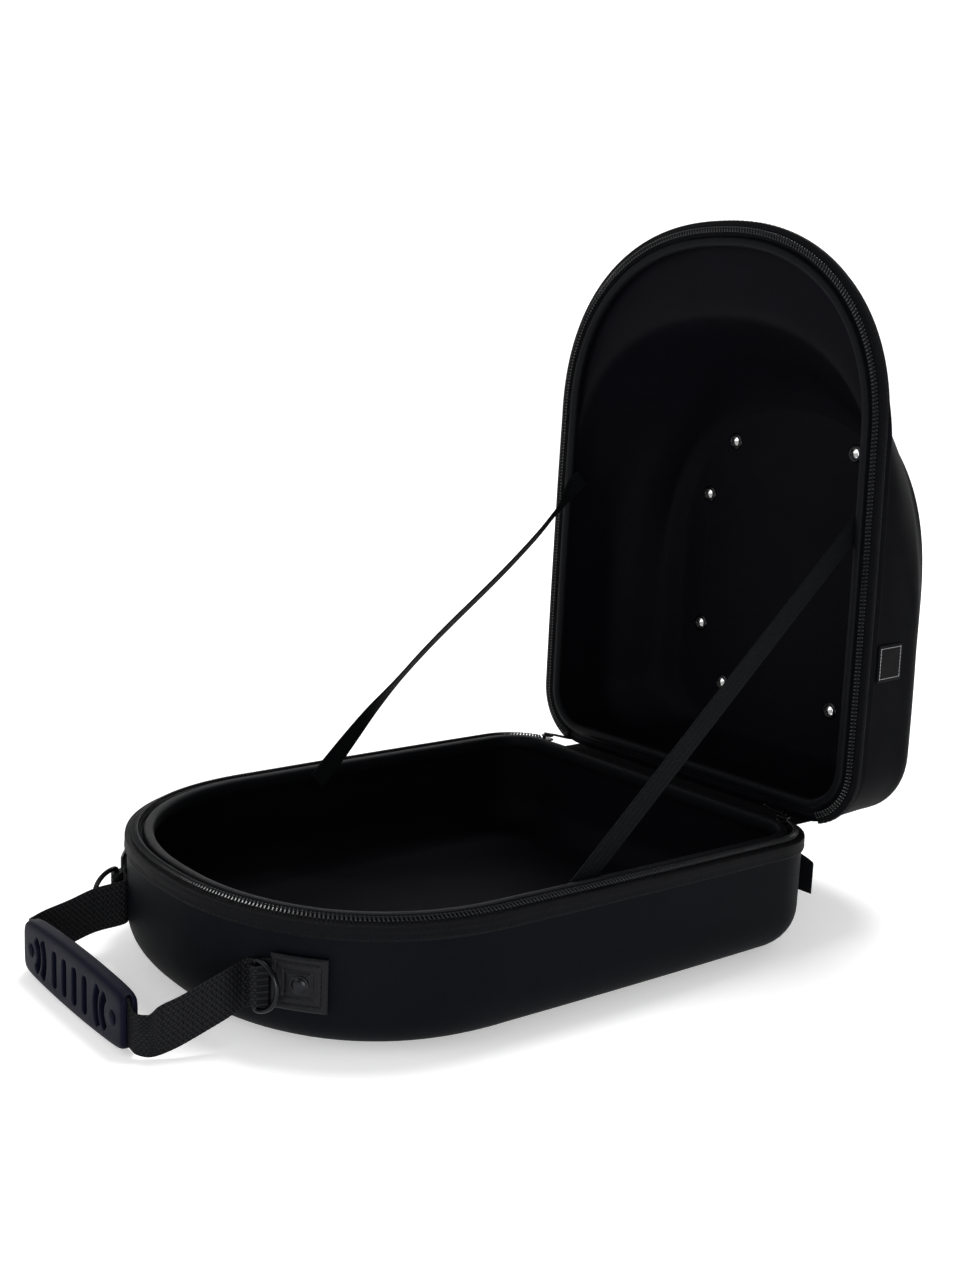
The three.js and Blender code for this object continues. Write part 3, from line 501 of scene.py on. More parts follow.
def knit(pitch, slack):
    """Height of a fine knit in the three planes of the case, blended by the way the surface faces.

    In one plane it is |sin(pi a / p)| times |sin(pi b / p)|: little pillows, one for each loop.
    """
    def height(tree):
        x, y, z = axes(tree, place_of(tree))
        step = np.pi / (pitch * MM)
        wave = [(v * step).sin().abs() for v in (x, y, z)]
        geometry = node(tree, "ShaderNodeNewGeometry").socket.node
        facing = [v.abs() ** 3 for v in axes(tree, Flow(tree, geometry.outputs["Normal"]))]
        total = facing[0] + facing[1] + facing[2]
        loops = facing[0] * wave[1] * wave[2] + facing[1] * wave[0] * wave[2] + facing[2] * wave[0] * wave[1]
        return loops / total * (1 - slack) + cloud(tree, place_of(tree), 9 * pitch) * slack

    return height


shell_cloth = finish(
    "shell_cloth", pair((0.0021, 0.0026, 0.0038), (0.003, 0.0036, 0.005), 14), rough_between(0.5, 0.6, 30),
    knit(0.75, 0.45), 0.09, Specular_IOR_Level=0.03,
)
# Painted shade: the lid's outer cloth is the shell cloth with about half its colour and less gloss, so the
# lid's outside reads darker than the tray.
lid_cloth_painted_shade = finish(
    "lid_cloth_painted_shade", pair((0.0009, 0.0011, 0.0019), (0.0014, 0.0017, 0.0026), 14), rough_between(0.5, 0.6, 30),
    knit(0.75, 0.45), 0.09, Specular_IOR_Level=0.018,
)
lining_cloth = finish(
    "lining_cloth", pair((0.0022, 0.0022, 0.0034), (0.0034, 0.0034, 0.0051), 22),
    rough_between(0.5, 0.62, 26), knit(0.9, 0.5), 0.1, Specular_IOR_Level=0.035,
)
print("cloth finishes ready")

# %% [markdown]
# Tapes and straps are woven, and their threads follow the piece rather than the case. Their patterns read
# the millimetre UV map: u runs along the band and v across it. A herringbone is a set of slanted ribs that
# change their slant at each stripe, and a ribbed webbing is one rib for each thread that crosses it.

# %% Woven finishes
RIB_PITCH = 2.3  # of the handle's webbing, along it
WEB_ROW = 1.5  # and across it


def herringbone(pitch, stripe):
    """Slanted ribs: sin(2 pi (u + s v) / pitch), where s is +1 or -1 in every other stripe of v."""
    def height(tree):
        u, v, _ = millimetres(tree)
        slant = ((v / (2 * stripe)).fraction().above(0.5)) * 2 - 1
        return ((u + slant * v) * (2 * np.pi / pitch)).sin()

    return height


def basket(along, across):
    """Plain weave: one sine along and one across, and their product where threads pass over."""
    def height(tree):
        u, v, _ = millimetres(tree)
        warp = (u * (np.pi / along)).sin().abs()
        weft = (v * (np.pi / across)).sin().abs()
        return warp * 0.6 + weft * 0.4

    return height


def ribs(tree):
    """Coarse webbing: |sin(pi (u / p + k / 2))| |sin(pi v / q)|, where k is 1 in every other row of threads,
    roughened by noise. The web finish also uses it as its colour mask, which paints shade into the grooves
    and light onto the crowns."""
    u, v, _ = millimetres(tree)
    row = v / WEB_ROW
    stagger = (row / 2).fraction().above(0.5) * 0.5
    across = ((u / RIB_PITCH + stagger) * np.pi).sin().abs()
    along = (row * np.pi).sin().abs() ** 0.5
    return across * along * (0.55 + 0.8 * cloud(tree, place_of(tree), 2.0))


rim_cloth = finish(
    "rim_cloth", pair((0.0024, 0.0027, 0.0036), (0.0036, 0.004, 0.005), 9), rough_between(0.42, 0.55, 18),
    knit(0.7, 0.4), 0.09, Specular_IOR_Level=0.06, Sheen_Weight=0.003, Sheen_Roughness=0.45,
)
tape_weave = finish(
    "tape_weave", pair((0.0024, 0.0026, 0.0034), (0.0038, 0.0041, 0.005), 6), rough_between(0.5, 0.66, 10),
    herringbone(1.1, 1.3), 0.12, Specular_IOR_Level=0.06, Sheen_Weight=0.004,
)
strap_weave = finish(
    "strap_weave", pair((0.0032, 0.0038, 0.0046), (0.0048, 0.0055, 0.0063), 7), rough_between(0.6, 0.75, 9),
    herringbone(1.2, 1.46), 0.14, Specular_IOR_Level=0.05, Sheen_Weight=0.004,
)
# Painted shade and painted light: the webbing's colour follows the rib height, near black in the grooves and
# about nine times lighter on the crowns, with a random noise share in the mask.
web_weave_painted_shade = finish(
    "web_weave_painted_shade", lambda tree: tint(tree, ribs(tree), (0.0012, 0.0013, 0.0016), (0.0105, 0.011, 0.0128)),
    rough_between(0.45, 0.62, 7), ribs, 0.35, Specular_IOR_Level=0.08, Sheen_Weight=0.003,
    Sheen_Roughness=0.4,
)
hinge_weave = finish(
    "hinge_weave", pair((0.003, 0.0033, 0.0043), (0.0044, 0.0048, 0.006), 8), rough_between(0.55, 0.7, 12),
    basket(0.9, 0.9), 0.12, Specular_IOR_Level=0.05, Sheen_Weight=0.003,
)
label_weave = finish(
    "label_weave", pair((0.001, 0.0011, 0.0014), (0.0018, 0.0019, 0.0023), 5), rough_between(0.6, 0.72, 6),
    basket(0.5, 0.5), 0.08, Specular_IOR_Level=0.08,
)
thread_black = finish(
    "thread_black", pair((0.004, 0.0043, 0.0053), (0.0068, 0.0072, 0.0084), 3), rough_between(0.5, 0.65, 4),
    lambda tree: cloud(tree, place_of(tree), 0.35), 0.05, Specular_IOR_Level=0.1,
)
thread_grey = finish(
    "thread_grey", pair((0.3, 0.31, 0.33), (0.42, 0.43, 0.45), 3), rough_between(0.5, 0.65, 4),
    lambda tree: cloud(tree, place_of(tree), 0.35), 0.05, Specular_IOR_Level=0.4,
)
print("woven finishes ready")

# %% [markdown]
# The hard pieces: pebbled artificial leather has a cell pattern with soft borders, nylon teeth and soft
# rubber are smooth with a faint grain, and metal gets fine scuffs that change its gloss, not its shape.

# %% Leather, rubber, nylon and metal
def pebbles(size):
    """Leather grain: the distance to the nearest cell's border, dented by a finer noise."""
    def height(tree):
        place = place_of(tree)
        sockets = {"Vector": place, "Scale": 1 / (size * MM)}
        cells = node(tree, "ShaderNodeTexVoronoi", {"feature": "DISTANCE_TO_EDGE"}, sockets)
        return cells * 1.6 + cloud(tree, place, size * 0.6) * 0.5

    return height


patch_leather = finish(
    "patch_leather", pair((0.003, 0.0032, 0.0042), (0.0048, 0.005, 0.0063), 5), rough_between(0.28, 0.42, 4),
    pebbles(1.1), 0.14, Specular_IOR_Level=0.12,
)
coil_nylon = finish(
    "coil_nylon", pair((0.006, 0.0065, 0.0075), (0.012, 0.0125, 0.014), 4), rough_between(0.2, 0.3, 3),
    lambda tree: cloud(tree, place_of(tree), 0.6), 0.03, Specular_IOR_Level=0.4,
)
grip_rubber = finish(
    "grip_rubber", pair((0.0026, 0.0029, 0.0088), (0.0036, 0.004, 0.0112), 12), rough_between(0.42, 0.55, 8),
    lambda tree: cloud(tree, place_of(tree), 0.5, 4.0), 0.06, Specular_IOR_Level=0.045,
)
black_metal = finish(
    "black_metal", pair((0.012, 0.0125, 0.014), (0.024, 0.0245, 0.027), 6), rough_between(0.2, 0.34, 3),
    lambda tree: cloud(tree, place_of(tree), 1.2), 0.03, Metallic=1.0,
)
dark_nickel = finish(
    "dark_nickel", pair((0.014, 0.014, 0.015), (0.03, 0.03, 0.032), 5), rough_between(0.22, 0.32, 2.5),
    lambda tree: cloud(tree, place_of(tree), 1.5), 0.02, Metallic=1.0,
)
bright_nickel = finish(
    "bright_nickel", pair((0.84, 0.84, 0.83), (0.93, 0.93, 0.92), 5), rough_between(0.06, 0.14, 2.5),
    lambda tree: cloud(tree, place_of(tree), 1.5), 0.01, Metallic=1.0,
)
print("hard finishes ready")


# %% [markdown]
# Every finished piece is handed over in one way: it gets its finish, it rides on the case's one body, and it
# hides the plain solids whose place it takes. Small extras such as stitches take no solid's place, so they
# name none.

# %% Hand a piece over
def dress(piece, material, slot, *nodes):
    """Gives a piece its finish, lets it ride on the case and hides the solids that it stands for."""
    piece.data.materials.clear()
    piece.data.materials.append(material)
    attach(piece, "root")
    if nodes:
        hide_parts(*nodes)
    print(piece.name, len(piece.data.polygons), "faces")
    return piece


# %% [markdown]
# ## The tray
#
# The real tray is one pressing: cloth, foam, cloth. We make it as two skins that lie back to back, the
# outer cloth and the lining. One function gives the surface at any depth into the wall, and a skin is
# that surface out to the rim at one depth and back again at another. The floor is closed by rings that
# shrink to the middle.

# %% Tray skins
TRAY_FILLET = 23.0
RIM_EDGE = -3.2  # the shell ends this far below its rim plane, under tape and band


def toward_middle(ring, shares):
    """Copies of a ring shrunk towards its middle, one for each share of its size."""
    middle = ring.mean(0, keepdims=True)
    return middle + np.asarray(shares)[:, None, None] * (ring - middle)


def tray_surface(depth):
    """The tray at a depth into its wall, from the middle of its floor out and up to the rim.

    On the fillet, inset = depth + r (1 - sin a) and height = depth + r (1 - cos a), r = fillet - depth.
    """
    r = TRAY_FILLET - depth
    a = np.linspace(0, np.pi / 2, 12)
    wall = np.linspace(TRAY_FILLET, TRAY_RIM + RIM_EDGE, 14)[1:]
    height = np.concatenate([depth + r * (1 - np.cos(a)), wall])
    inset = np.concatenate([depth + r * (1 - np.sin(a)), np.full(13, depth)])
    rings = on_tray(case_plan(inset), (height - TRAY_RIM)[:, None])
    floor = toward_middle(rings[0], np.linspace(0, 1, 14, endpoint=False) ** 0.7)
    return np.concatenate([floor, rings])


def skin(name, surface, front, behind):
    """A closed skin between two depths of a surface, whose rows run from a pole to the rim."""
    points = np.concatenate([surface(front), surface(behind)[::-1]])
    rim_row = len(points) // 2 - 1
    return grid_mesh(name, points, close_columns=True, uv_row=rim_row)


tray_outer = new_piece("tray_outer", skin("tray_outer", tray_surface, 0, CLOTH_WALL))
dress(tray_outer, shell_cloth, "shell_cloth", "base_tray")
tray_lining = new_piece("tray_lining", skin("tray_lining", tray_surface, CLOTH_WALL + SKIN_GAP, SHELL_WALL))
dress(tray_lining, lining_cloth, "shell_cloth", "base_tray")

# %% [markdown]
# ## The lid
#
# The lid starts with the same rim, turns over a small fillet into the brim panel, and then rises as the
# crown. The crown has no simple formula, so a short table gives its outline at eight heights, as shares of
# named sizes, and a smooth line runs through the table. Where the panel meets the crown, a few rounds of
# averaging along the profile turn the crease into the soft dip of moulded foam.

# %% Lid sizes and the crown's table
BRIM_DEPTH = 11.0
BRIM_FILLET = 5.0
CROWN_FOOT = 45.0
CROWN_SHOULDER = 38.0
CROWN_SLOPE = 54.0
CROWN_HEEL = 12.0
CROWN_TABLE = np.array([
    # height, side, front, arch, heel
    (0, 0.01, 0, 0.88, 0.02),
    (0.17, 0.035, 0.13, 0.9, 0.02),
    (0.37, 0.065, 0.26, 1.06, 0.02),
    (0.54, 0.1, 0.4, 1.22, 0.01),
    (0.7, 0.33, 0.53, 1.24, 0.2),
    (0.85, 0.54, 0.7, 1.07, 0.42),
    (0.94, 0.7, 0.86, 0.84, 0.64),
    (1, 1, 1, 0.71, 1),
])
print("crown", round(CROWN_DEPTH - BRIM_DEPTH, 1), "mm over the brim panel")


def crown_rings(depth):
    """The crown's outlines at a depth into its wall, and how far each lies from the rim plane."""
    height, side, front, arch, heel = through(CROWN_TABLE, 7).T
    height = np.minimum(height, 1)
    flat = plan(
        CASE_WIDTH / 2 - side * CROWN_SHOULDER - depth,
        CROWN_FOOT + front * CROWN_SLOPE + depth,
        arch * CASE_WIDTH / 2 - depth,
        CASE_LENGTH - heel * CROWN_HEEL - depth,
        BACK_CORNER + side * CROWN_SHOULDER * 0.15 - depth,
        SIDE_FLARE * (1 - height),
    )
    return flat, BRIM_DEPTH + height * (CROWN_DEPTH - BRIM_DEPTH) - depth


def soften(points, rounds, first):
    """Rounds creases: from row first on, each inner row moves to half itself plus a quarter of each
    neighbour, again and again."""
    for _ in range(rounds):
        inner = 0.25 * points[first - 1 : -2] + 0.5 * points[first:-1] + 0.25 * points[first + 1 :]
        points = np.concatenate([points[:first], inner, points[-1:]])
    return points


def lid_surface(depth):
    """The lid at a depth into its wall, from the rim's edge over the brim panel and the crown to the
    middle of its flat panel."""
    edge = case_plan(depth)[0]
    crown, crown_depth = crown_rings(depth)
    inwards = unit(np.roll(edge, -1, 0) - np.roll(edge, 1, 0)) @ np.array([[0, 1], [-1, 0]])
    room = np.maximum(((crown[0] - edge) * inwards).sum(-1), 0)
    radius = np.minimum(BRIM_FILLET - depth / 2, 0.8 * room)[None, :, None]
    panel = BRIM_DEPTH - depth
    a = np.linspace(0, np.pi / 2, 7)[:, None, None]
    fillet = edge + inwards * radius * (1 - np.cos(a))
    fillet_depth = panel - radius * (1 - np.sin(a))
    wall = np.linspace(0, 1, 6)[:-1, None, None]
    wall_depth = -RIM_EDGE + wall * (fillet_depth[:1] + RIM_EDGE)
    share = np.linspace(0, 1, 10)[1:-1, None, None]
    across = fillet[-1:] * (1 - share) + crown[:1] * share
    flat = np.concatenate([edge + 0 * wall, fillet, across, crown])
    columns = edge.shape[0]
    deep = [wall_depth, fillet_depth, np.full((8, 1, 1), panel), crown_depth[:, None, None]]
    deep = np.concatenate([np.broadcast_to(d, (d.shape[0], columns, 1)) for d in deep])[..., 0]
    rings = soften(on_lid(flat, -deep), 5, 13)
    top = toward_middle(rings[-1], np.linspace(1, 0, 16)[1:] ** 0.8)
    return np.concatenate([rings, top])


def lid_skin(name, front, behind):
    """A closed skin of the lid between two depths."""
    points = np.concatenate([lid_surface(front)[::-1], lid_surface(behind)])
    return grid_mesh(name, points, close_columns=True, uv_row=len(points) // 2)


# %% [markdown]
# Eight eyelets air the crown. Their holes go right through both skins, so we cut them with one Boolean
# made of eight cylinders: the cut is quick because the shapes are closed.

# %% Cut the eyelet holes
EYELET_RADIUS = 3.6


def eyelet_middles():
    """Middle of each eyelet's solid, in mm, and how far it reaches to either side along Y."""
    boxes = [corners(f"eyelet_{k}") for k in range(1, 9)]
    return np.array([(low + high) / 2 for low, high in boxes]), (boxes[0][1] - boxes[0][0])[1] / 2


def cutter_of(middles):
    """Cylinders along Y through each middle, as one object."""
    shape, faces = tube_shape((-12, 12), (EYELET_RADIUS, EYELET_RADIUS), 36)
    places = np.stack([middles] + [np.broadcast_to(v, middles.shape) for v in np.eye(3)[[1, 2, 0]]], 1)
    return new_piece("eyelet_cutter", copies_mesh("eyelet_cutter", shape, faces, places))


def bake(piece):
    """Applies a piece's modifiers."""
    graph = bpy.context.evaluated_depsgraph_get()
    made = bpy.data.meshes.new_from_object(piece.evaluated_get(graph))
    piece.modifiers.clear()
    piece.data = made
    made.name = piece.name
    return piece


def cut(piece, cutter, solver="EXACT"):
    """Takes the cutter's shape out of a piece."""
    tool = piece.modifiers.new("cut", "BOOLEAN")
    tool.operation = "DIFFERENCE"
    tool.solver = solver
    tool.object = cutter
    bake(piece)
    piece.data.set_sharp_from_angle(angle=SHARP)
    return piece


eyelets, eyelet_reach = eyelet_middles()
hole_cutter = cutter_of(eyelets)
lid_outer = cut(new_piece("lid_outer", lid_skin("lid_outer", 0, CLOTH_WALL)), hole_cutter, "MANIFOLD")
# The lid's outside takes the darker copy of the shell cloth: painted shade.
dress(lid_outer, lid_cloth_painted_shade, "shell_cloth", "lid_shell")
lid_lining = new_piece("lid_lining", lid_skin("lid_lining", CLOTH_WALL + SKIN_GAP, SHELL_WALL))
lid_lining = cut(lid_lining, hole_cutter, "MANIFOLD")
dress(lid_lining, lining_cloth, "shell_cloth", "lid_shell")
bpy.data.objects.remove(hole_cutter)

# %% [markdown]
# An eyelet is a turned ring of dark plated metal with a rolled flange on each face, and the sleeve inside
# it is bright. A profile turned about its axis is a grid too, with the angle as the second parameter.

# %% Eyelets
EYELET_PROFILE = np.array([
    # radius, share of the reach
    (2.8, -0.8), (3.0, -0.95), (3.9, -1.0), (4.9, -0.9), (5.3, -0.78), (5.2, -0.72), (3.5, -0.72),
    (3.4, -0.6), (3.4, 0.6), (3.5, 0.72), (5.2, 0.72), (5.3, 0.78), (4.9, 0.9), (3.9, 1.0),
    (3.0, 0.95), (2.8, 0.8),
])
SLEEVE_PROFILE = np.array([(2.68, -0.2), (3.0, -0.26), (3.0, 0.76), (2.68, 0.7)])


def turned(profile, sides=40):
    """A closed profile of (radius, height) turned round the Y axis, centred on the origin."""
    angle = np.linspace(0, 2 * np.pi, sides, endpoint=False)[:, None]
    radius, height = profile[:, 0], profile[:, 1]
    return np.stack([radius * np.cos(angle), height + 0 * angle, radius * np.sin(angle)], -1)


def turned_piece(name, profile, middle):
    """A turned profile as a piece round a middle."""
    points = turned(profile * (1, eyelet_reach)) + middle
    return new_piece(name, grid_mesh(name, points, close_rows=True, close_columns=True))


for number, middle in enumerate(eyelets, 1):
    ring = turned_piece(f"eyelet_ring_{number}", cut_corners(EYELET_PROFILE, 1), middle)
    dress(ring, dark_nickel, "eyelet_metal", f"eyelet_{number}")
    dress(turned_piece(f"eyelet_sleeve_{number}", SLEEVE_PROFILE, middle), bright_nickel, "eyelet_metal")

# %% [markdown]
# ## Rim trim
#
# Round each rim lie a padded band, a groove, the zip's coil and the tape that folds over the edge. Each is
# one profile of insets and rises carried along the outline, and the lid's set is the tray's set in
# another place. The band is padding under cloth, so it swells and dips a little along its way.

# %% Padded bands and zip tapes
CHAIN_INSET = 1.5
CHAIN_WIDTH = 4.4
GROOVE = CHAIN_INSET + CHAIN_WIDTH + 1.7
BAND_INSET = 13.0
BAND_DEPTH = {"tray": 8.5, "lid": 5.5}
TAPE_WIDTH = {"tray": 9.0, "lid": 5.0}


def band_profile(depth):
    """Insets and rises of the padded band, whose lowest edge is at the given depth."""
    return np.array([
        (6.7, -depth), (5.3, 2.1 - depth), (5.3, RIM_EDGE), (GROOVE, RIM_EDGE), (GROOVE + 0.3, -0.6),
        (GROOVE + 1.2, CHAIN_TOP), (BAND_INSET - 1.4, CHAIN_TOP), (BAND_INSET, -1.2),
        (BAND_INSET, 2.1 - depth), (BAND_INSET - 1.6, -depth),
    ])


def tape_profile(width):
    """The tape: flat under the coil, folded over the rim and down outside by its width."""
    return np.array([
        (-1.2, -width), (-1.2, -(width + 2.2) / 2), (-1.2, -2.2), (-0.4, -2.0), (2.0, -2.0), (5.9, -2.0),
        (5.9, -2.9), (2.0, -2.9), (-0.1, -2.9), (-0.3, -3.3), (-0.3, -(width + 3.3) / 2), (-0.3, -width),
    ])


def carried(profile, place, zipped):
    """A profile of (inset, rise) carried along the outline: (stations, profile points, 3)."""
    flat = case_plan(profile[:, 0])
    if zipped:
        flat = zip_columns(flat)
    return np.swapaxes(place(flat, profile[:, 1:2]), 0, 1)


def pucker(points, size):
    """Moves a band's points in and out of its middle line by soft, uneven waves along its length."""
    middle = points.mean(1, keepdims=True)
    along = run_lengths(middle[:, 0])[:, None, None]
    wave = np.sin(along / 3.7) * 0.5 + np.sin(along / 9.1 + 1.3) * 0.8 + np.sin(along / 23.0)
    return middle + (points - middle) * (1 + size * wave)


for half, place in (("tray", on_tray), ("lid", on_lid)):
    loop = carried(cut_corners(band_profile(BAND_DEPTH[half]), 2), place, False)
    band = grid_mesh(f"{half}_band", pucker(loop, 0.008), close_rows=True, close_columns=True)
    dress(new_piece(f"{half}_band", band), rim_cloth, "rim_cloth", f"{half}_rim_band")
    loop = carried(cut_corners(tape_profile(TAPE_WIDTH[half]), 1), place, True)
    tape = grid_mesh(f"{half}_tape", np.swapaxes(loop, 0, 1), close_rows=True)
    tape_piece = new_piece(f"{half}_tape", tape)
    dress(tape_piece, tape_weave, "zip_tape", f"{half}_zip_tape")

# %% [markdown]
# The coil is what makes a zip read as a zip. A nylon coil shows one slanted bar every two millimetres,
# with a fatter head on the side that locks. We shape one bar, walk the rim in even steps, and set a copy
# at each step: hundreds of bars in one mesh. A sewing thread holds the coil down to the tape. The tray's
# coil leans outwards, as it does where a zip stands open.

# %% Zip coils
TOOTH_PITCH = 2.0
TOOTH_SLANT = 0.22
COIL_SINK = 1.05  # the coil's middle lies this far below the trim's top
THREAD_SINK = 0.42
COIL_LEAN = {"tray": np.radians(32), "lid": 0.0}
COIL_LIFT = {"tray": 0.35, "lid": 0.0}


def tooth():
    """One bar of the coil across the tape: X across, Y along the zip, Z up."""
    across = np.array([-1.65, -1.5, -0.95, 0.6, 1.1, 1.5, 1.62])
    girth = np.array([0.4, 0.6, 0.62, 0.6, 0.8, 0.7, 0.36])
    points, faces = tube_shape(across, girth, 8, flat=1.12)
    points[:, 1] += TOOTH_SLANT * points[:, 0]
    return points, faces


def rim_frames(place, inset, rise, spacing, lean=0.0):
    """Places along the zip with directions across the rim, along it and up from it, leaned outwards."""
    line = place(zip_columns(case_plan(inset)), rise)[0]
    spot, along = walk(line, spacing, start=1.0)
    up = place(np.zeros(2), 1.0) - place(np.zeros(2), 0.0)
    across = np.cross(along, up)
    leaned = across * np.cos(lean) - up * np.sin(lean)
    return np.stack([spot, leaned, along, up * np.cos(lean) + across * np.sin(lean)], 1)


def wavy_thread(name, frames, offset, radius, waves):
    """A thread that rises over each bar and dips between: a tube with two rings for each bar."""
    spot, across, along, up = np.swapaxes(frames, 0, 1)
    rise = np.where(np.arange(len(spot)) % 2 == 0, waves, -waves)[:, None]
    centre = spot + across * offset + up * rise
    angle = np.linspace(0, 2 * np.pi, 6, endpoint=False)[None, :, None]
    ring = across[:, None] * np.cos(angle) + up[:, None] * np.sin(angle)
    return grid_mesh(name, centre[:, None] + radius * ring, close_columns=True, caps=True)


for half, place in (("tray", on_tray), ("lid", on_lid)):
    middle = CHAIN_INSET + CHAIN_WIDTH / 2
    lift, lean = CHAIN_TOP + COIL_LIFT[half], COIL_LEAN[half]
    frames = rim_frames(place, middle, lift - COIL_SINK, TOOTH_PITCH, lean)
    bar, bar_faces = tooth()
    teeth = copies_mesh(f"{half}_teeth", bar, bar_faces, frames)
    dress(new_piece(f"{half}_teeth", teeth), coil_nylon, "zip_coil", f"{half}_zip_chain")
    frames = rim_frames(place, middle, lift - THREAD_SINK, TOOTH_PITCH / 2, lean)
    thread = wavy_thread(f"{half}_coil_thread", frames, -0.6, 0.26, 0.14)
    dress(new_piece(f"{half}_coil_thread", thread), thread_black, "zip_coil")

# %% [markdown]
# A row of stitches holds each tape to its shell. A stitch is a short bar with round ends, sunk a little
# into the cloth. The same function sews the patches, the hinge and the label.

# %% Stitches
def stitch_rows(name, lines, spacing, length, radius, material, slot):
    """Stitches along one or more lines. Each line is (points, up), in mm."""
    shape, faces = tube_shape(
        np.array([-0.5, -0.4, 0.4, 0.5]) * length, np.array([0.35, 1, 1, 0.35]) * radius, 6
    )
    places = []
    for points, up in lines:
        spot, along = walk(points, spacing, start=spacing / 2)
        lift = np.broadcast_to(up, spot.shape)
        across = unit(np.cross(lift, along))
        places.append(np.stack([spot, along, across, np.cross(along, across)], 1))
    mesh = copies_mesh(name, shape, faces, np.concatenate(places))
    return dress(new_piece(name, mesh), material, slot)


for half, place in (("tray", on_tray), ("lid", on_lid)):
    up = place(np.zeros(2), 1.0) - place(np.zeros(2), 0.0)
    line = place(zip_columns(case_plan(-1.2)), 1.2 - TAPE_WIDTH[half])[0]
    stitch_rows(f"{half}_tape_stitches", [(line, up)], 3.4, 2.5, 0.22, thread_black, "zip_tape")

# %% [markdown]
# ## Zip sliders
#
# Each zip end has a slider: two plates joined by a post, a bridge over the top and a pull that hangs from
# it. Here they are parked at the hinge corners. The plates are flat outlines with a thickness, so one
# function makes them all: an outline, rounded by cutting its corners, as rings from bottom to top.

# %% Sliders
def plate(outline, low, high, edge=0.25):
    """A flat plate with softened edges as a grid: the outline shrunk a little at the two faces."""
    middle = outline.mean(0)
    shares = np.array([0.001, 0.5, 1 - edge / 4, 1, 1, 1 - edge / 4, 0.5, 0.001])
    flat = middle + shares[:, None, None] * (outline - middle)
    height = np.array([low, low, low, low + edge, high - edge, high, high, high])[:, None, None]
    return np.concatenate([flat, np.broadcast_to(height, flat.shape[:2] + (1,))], -1)


def joined(name, meshes):
    """One mesh from several."""
    work = bmesh.new()
    for mesh in meshes:
        work.from_mesh(mesh)
    made = bpy.data.meshes.new(name)
    work.to_mesh(made)
    work.free()
    return made


def mirrored_plate(half):
    """An outline with round corners from its one half: places along the zip, and half widths there."""
    half = np.array(half)
    return cut_corners(np.concatenate([half * (1, -1), half[::-1]]), 2)


def slider(side):
    """A slider with its pull, past the end of the tray's coil."""
    line = on_tray(case_plan(CHAIN_INSET + CHAIN_WIDTH / 2), 0.0)[0]
    start = line[ZIP_END]
    along = unit(line[ZIP_END + 1] - start)
    across = np.cross(along, (0, 0, 1.0))
    body = mirrored_plate([(0.8, 2.3), (5.4, 3.2), (8.8, 1.9)])
    pull = mirrored_plate([(4.8, 1.3), (14, 1.7), (24.2, 2.1)])
    bridge = mirrored_plate([(2.2, 0.7), (7.4, 0.7)])
    post = mirrored_plate([(1.2, 0.8), (3.4, 0.8)])
    parts = [
        # outline, low, high
        (body, -1.6, -0.7), (post, -0.75, 0.95), (body, 0.9, 1.7), (bridge, 1.65, 2.9), (pull, 2.2, 2.85),
    ]
    meshes = []
    for outline, low, high in parts:
        grid = plate(outline, low, high)
        points = start + grid[..., :1] * along + grid[..., 1:2] * across + grid[..., 2:] * UP
        meshes.append(grid_mesh("slider", points * (side, 1, 1), close_columns=True))
    return joined(f"slider_{side}", meshes)


SIDES = (("right", 1), ("left", -1))
for name, side in SIDES:
    body = new_piece(f"zip_slider_{name}_body", slider(side))
    dress(body, black_metal, "black_metal", f"zip_slider_{name}")

# %% [markdown]
# ## Cloth hinge and stay straps
#
# Both are woven strips: a centre line, a width and a small thickness. A ribbon is a grid whose columns go
# round a flat section with rounded edges, and whose rows follow the line. The hinge is wide where it is
# sewn to the tray and narrows under the lid. One strap is taut, and the other one hangs a little slack
# and has turned edge-on.

# %% Ribbons
def flat_oval(columns):
    """Places round a strip's section, across it and through it, both from -1 to 1."""
    a = np.linspace(0, 2 * np.pi, 2 * columns, endpoint=False)
    return squarer(np.cos(a), 0.35), squarer(np.sin(a), 0.3)


def ribbon(centre, across, through_wall, width, thick, columns=13):
    """A strip as a grid of closed sections.

    A section is a flat oval: half a width across times sign(cos a) |cos a|^0.35, and half a thickness
    through times sign(sin a) |sin a|^0.3.
    """
    wide, deep = flat_oval(columns)
    width = np.broadcast_to(np.asarray(width, float).reshape(-1, 1, 1), (len(centre), 1, 1))
    return (
        centre[:, None]
        + across[:, None] * wide[None, :, None] * width / 2
        + through_wall[:, None] * deep[None, :, None] * thick / 2
    )


def ribbon_mesh(name, points):
    """A ribbon's mesh, with u across the strip's girth and v along it, swapped so that u runs along."""
    mesh = grid_mesh(name, np.swapaxes(points, 0, 1), close_rows=True)
    close_ends(mesh)
    return mesh


def close_ends(mesh):
    """Fills every open rim of a tube with a face."""
    work = bmesh.new()
    work.from_mesh(mesh)
    rims = [edge for edge in work.edges if len(edge.link_faces) == 1]
    bmesh.ops.holes_fill(work, edges=rims, sides=0)
    bmesh.ops.recalc_face_normals(work, faces=work.faces)
    work.to_mesh(mesh)
    work.free()


for half in ("tray", "lid"):
    close_ends(bpy.data.objects[f"{half}_tape"].data)

# %% [markdown]
# The hinge strip climbs the tray's back wall, bends round a quarter circle and runs on under the lid. A
# profile in one plane and an eased width are enough, because cloth under tension bends in one direction.

# %% Hinge
HINGE_THICK = 1.1
HINGE_BEND = 5.0
HINGE_LID_WIDTH = 190.0
NARROW_FROM, NARROW_TO = 43.0, 50.0  # heights between which the strip narrows
hinge_low, hinge_high = corners("hinge_strip")


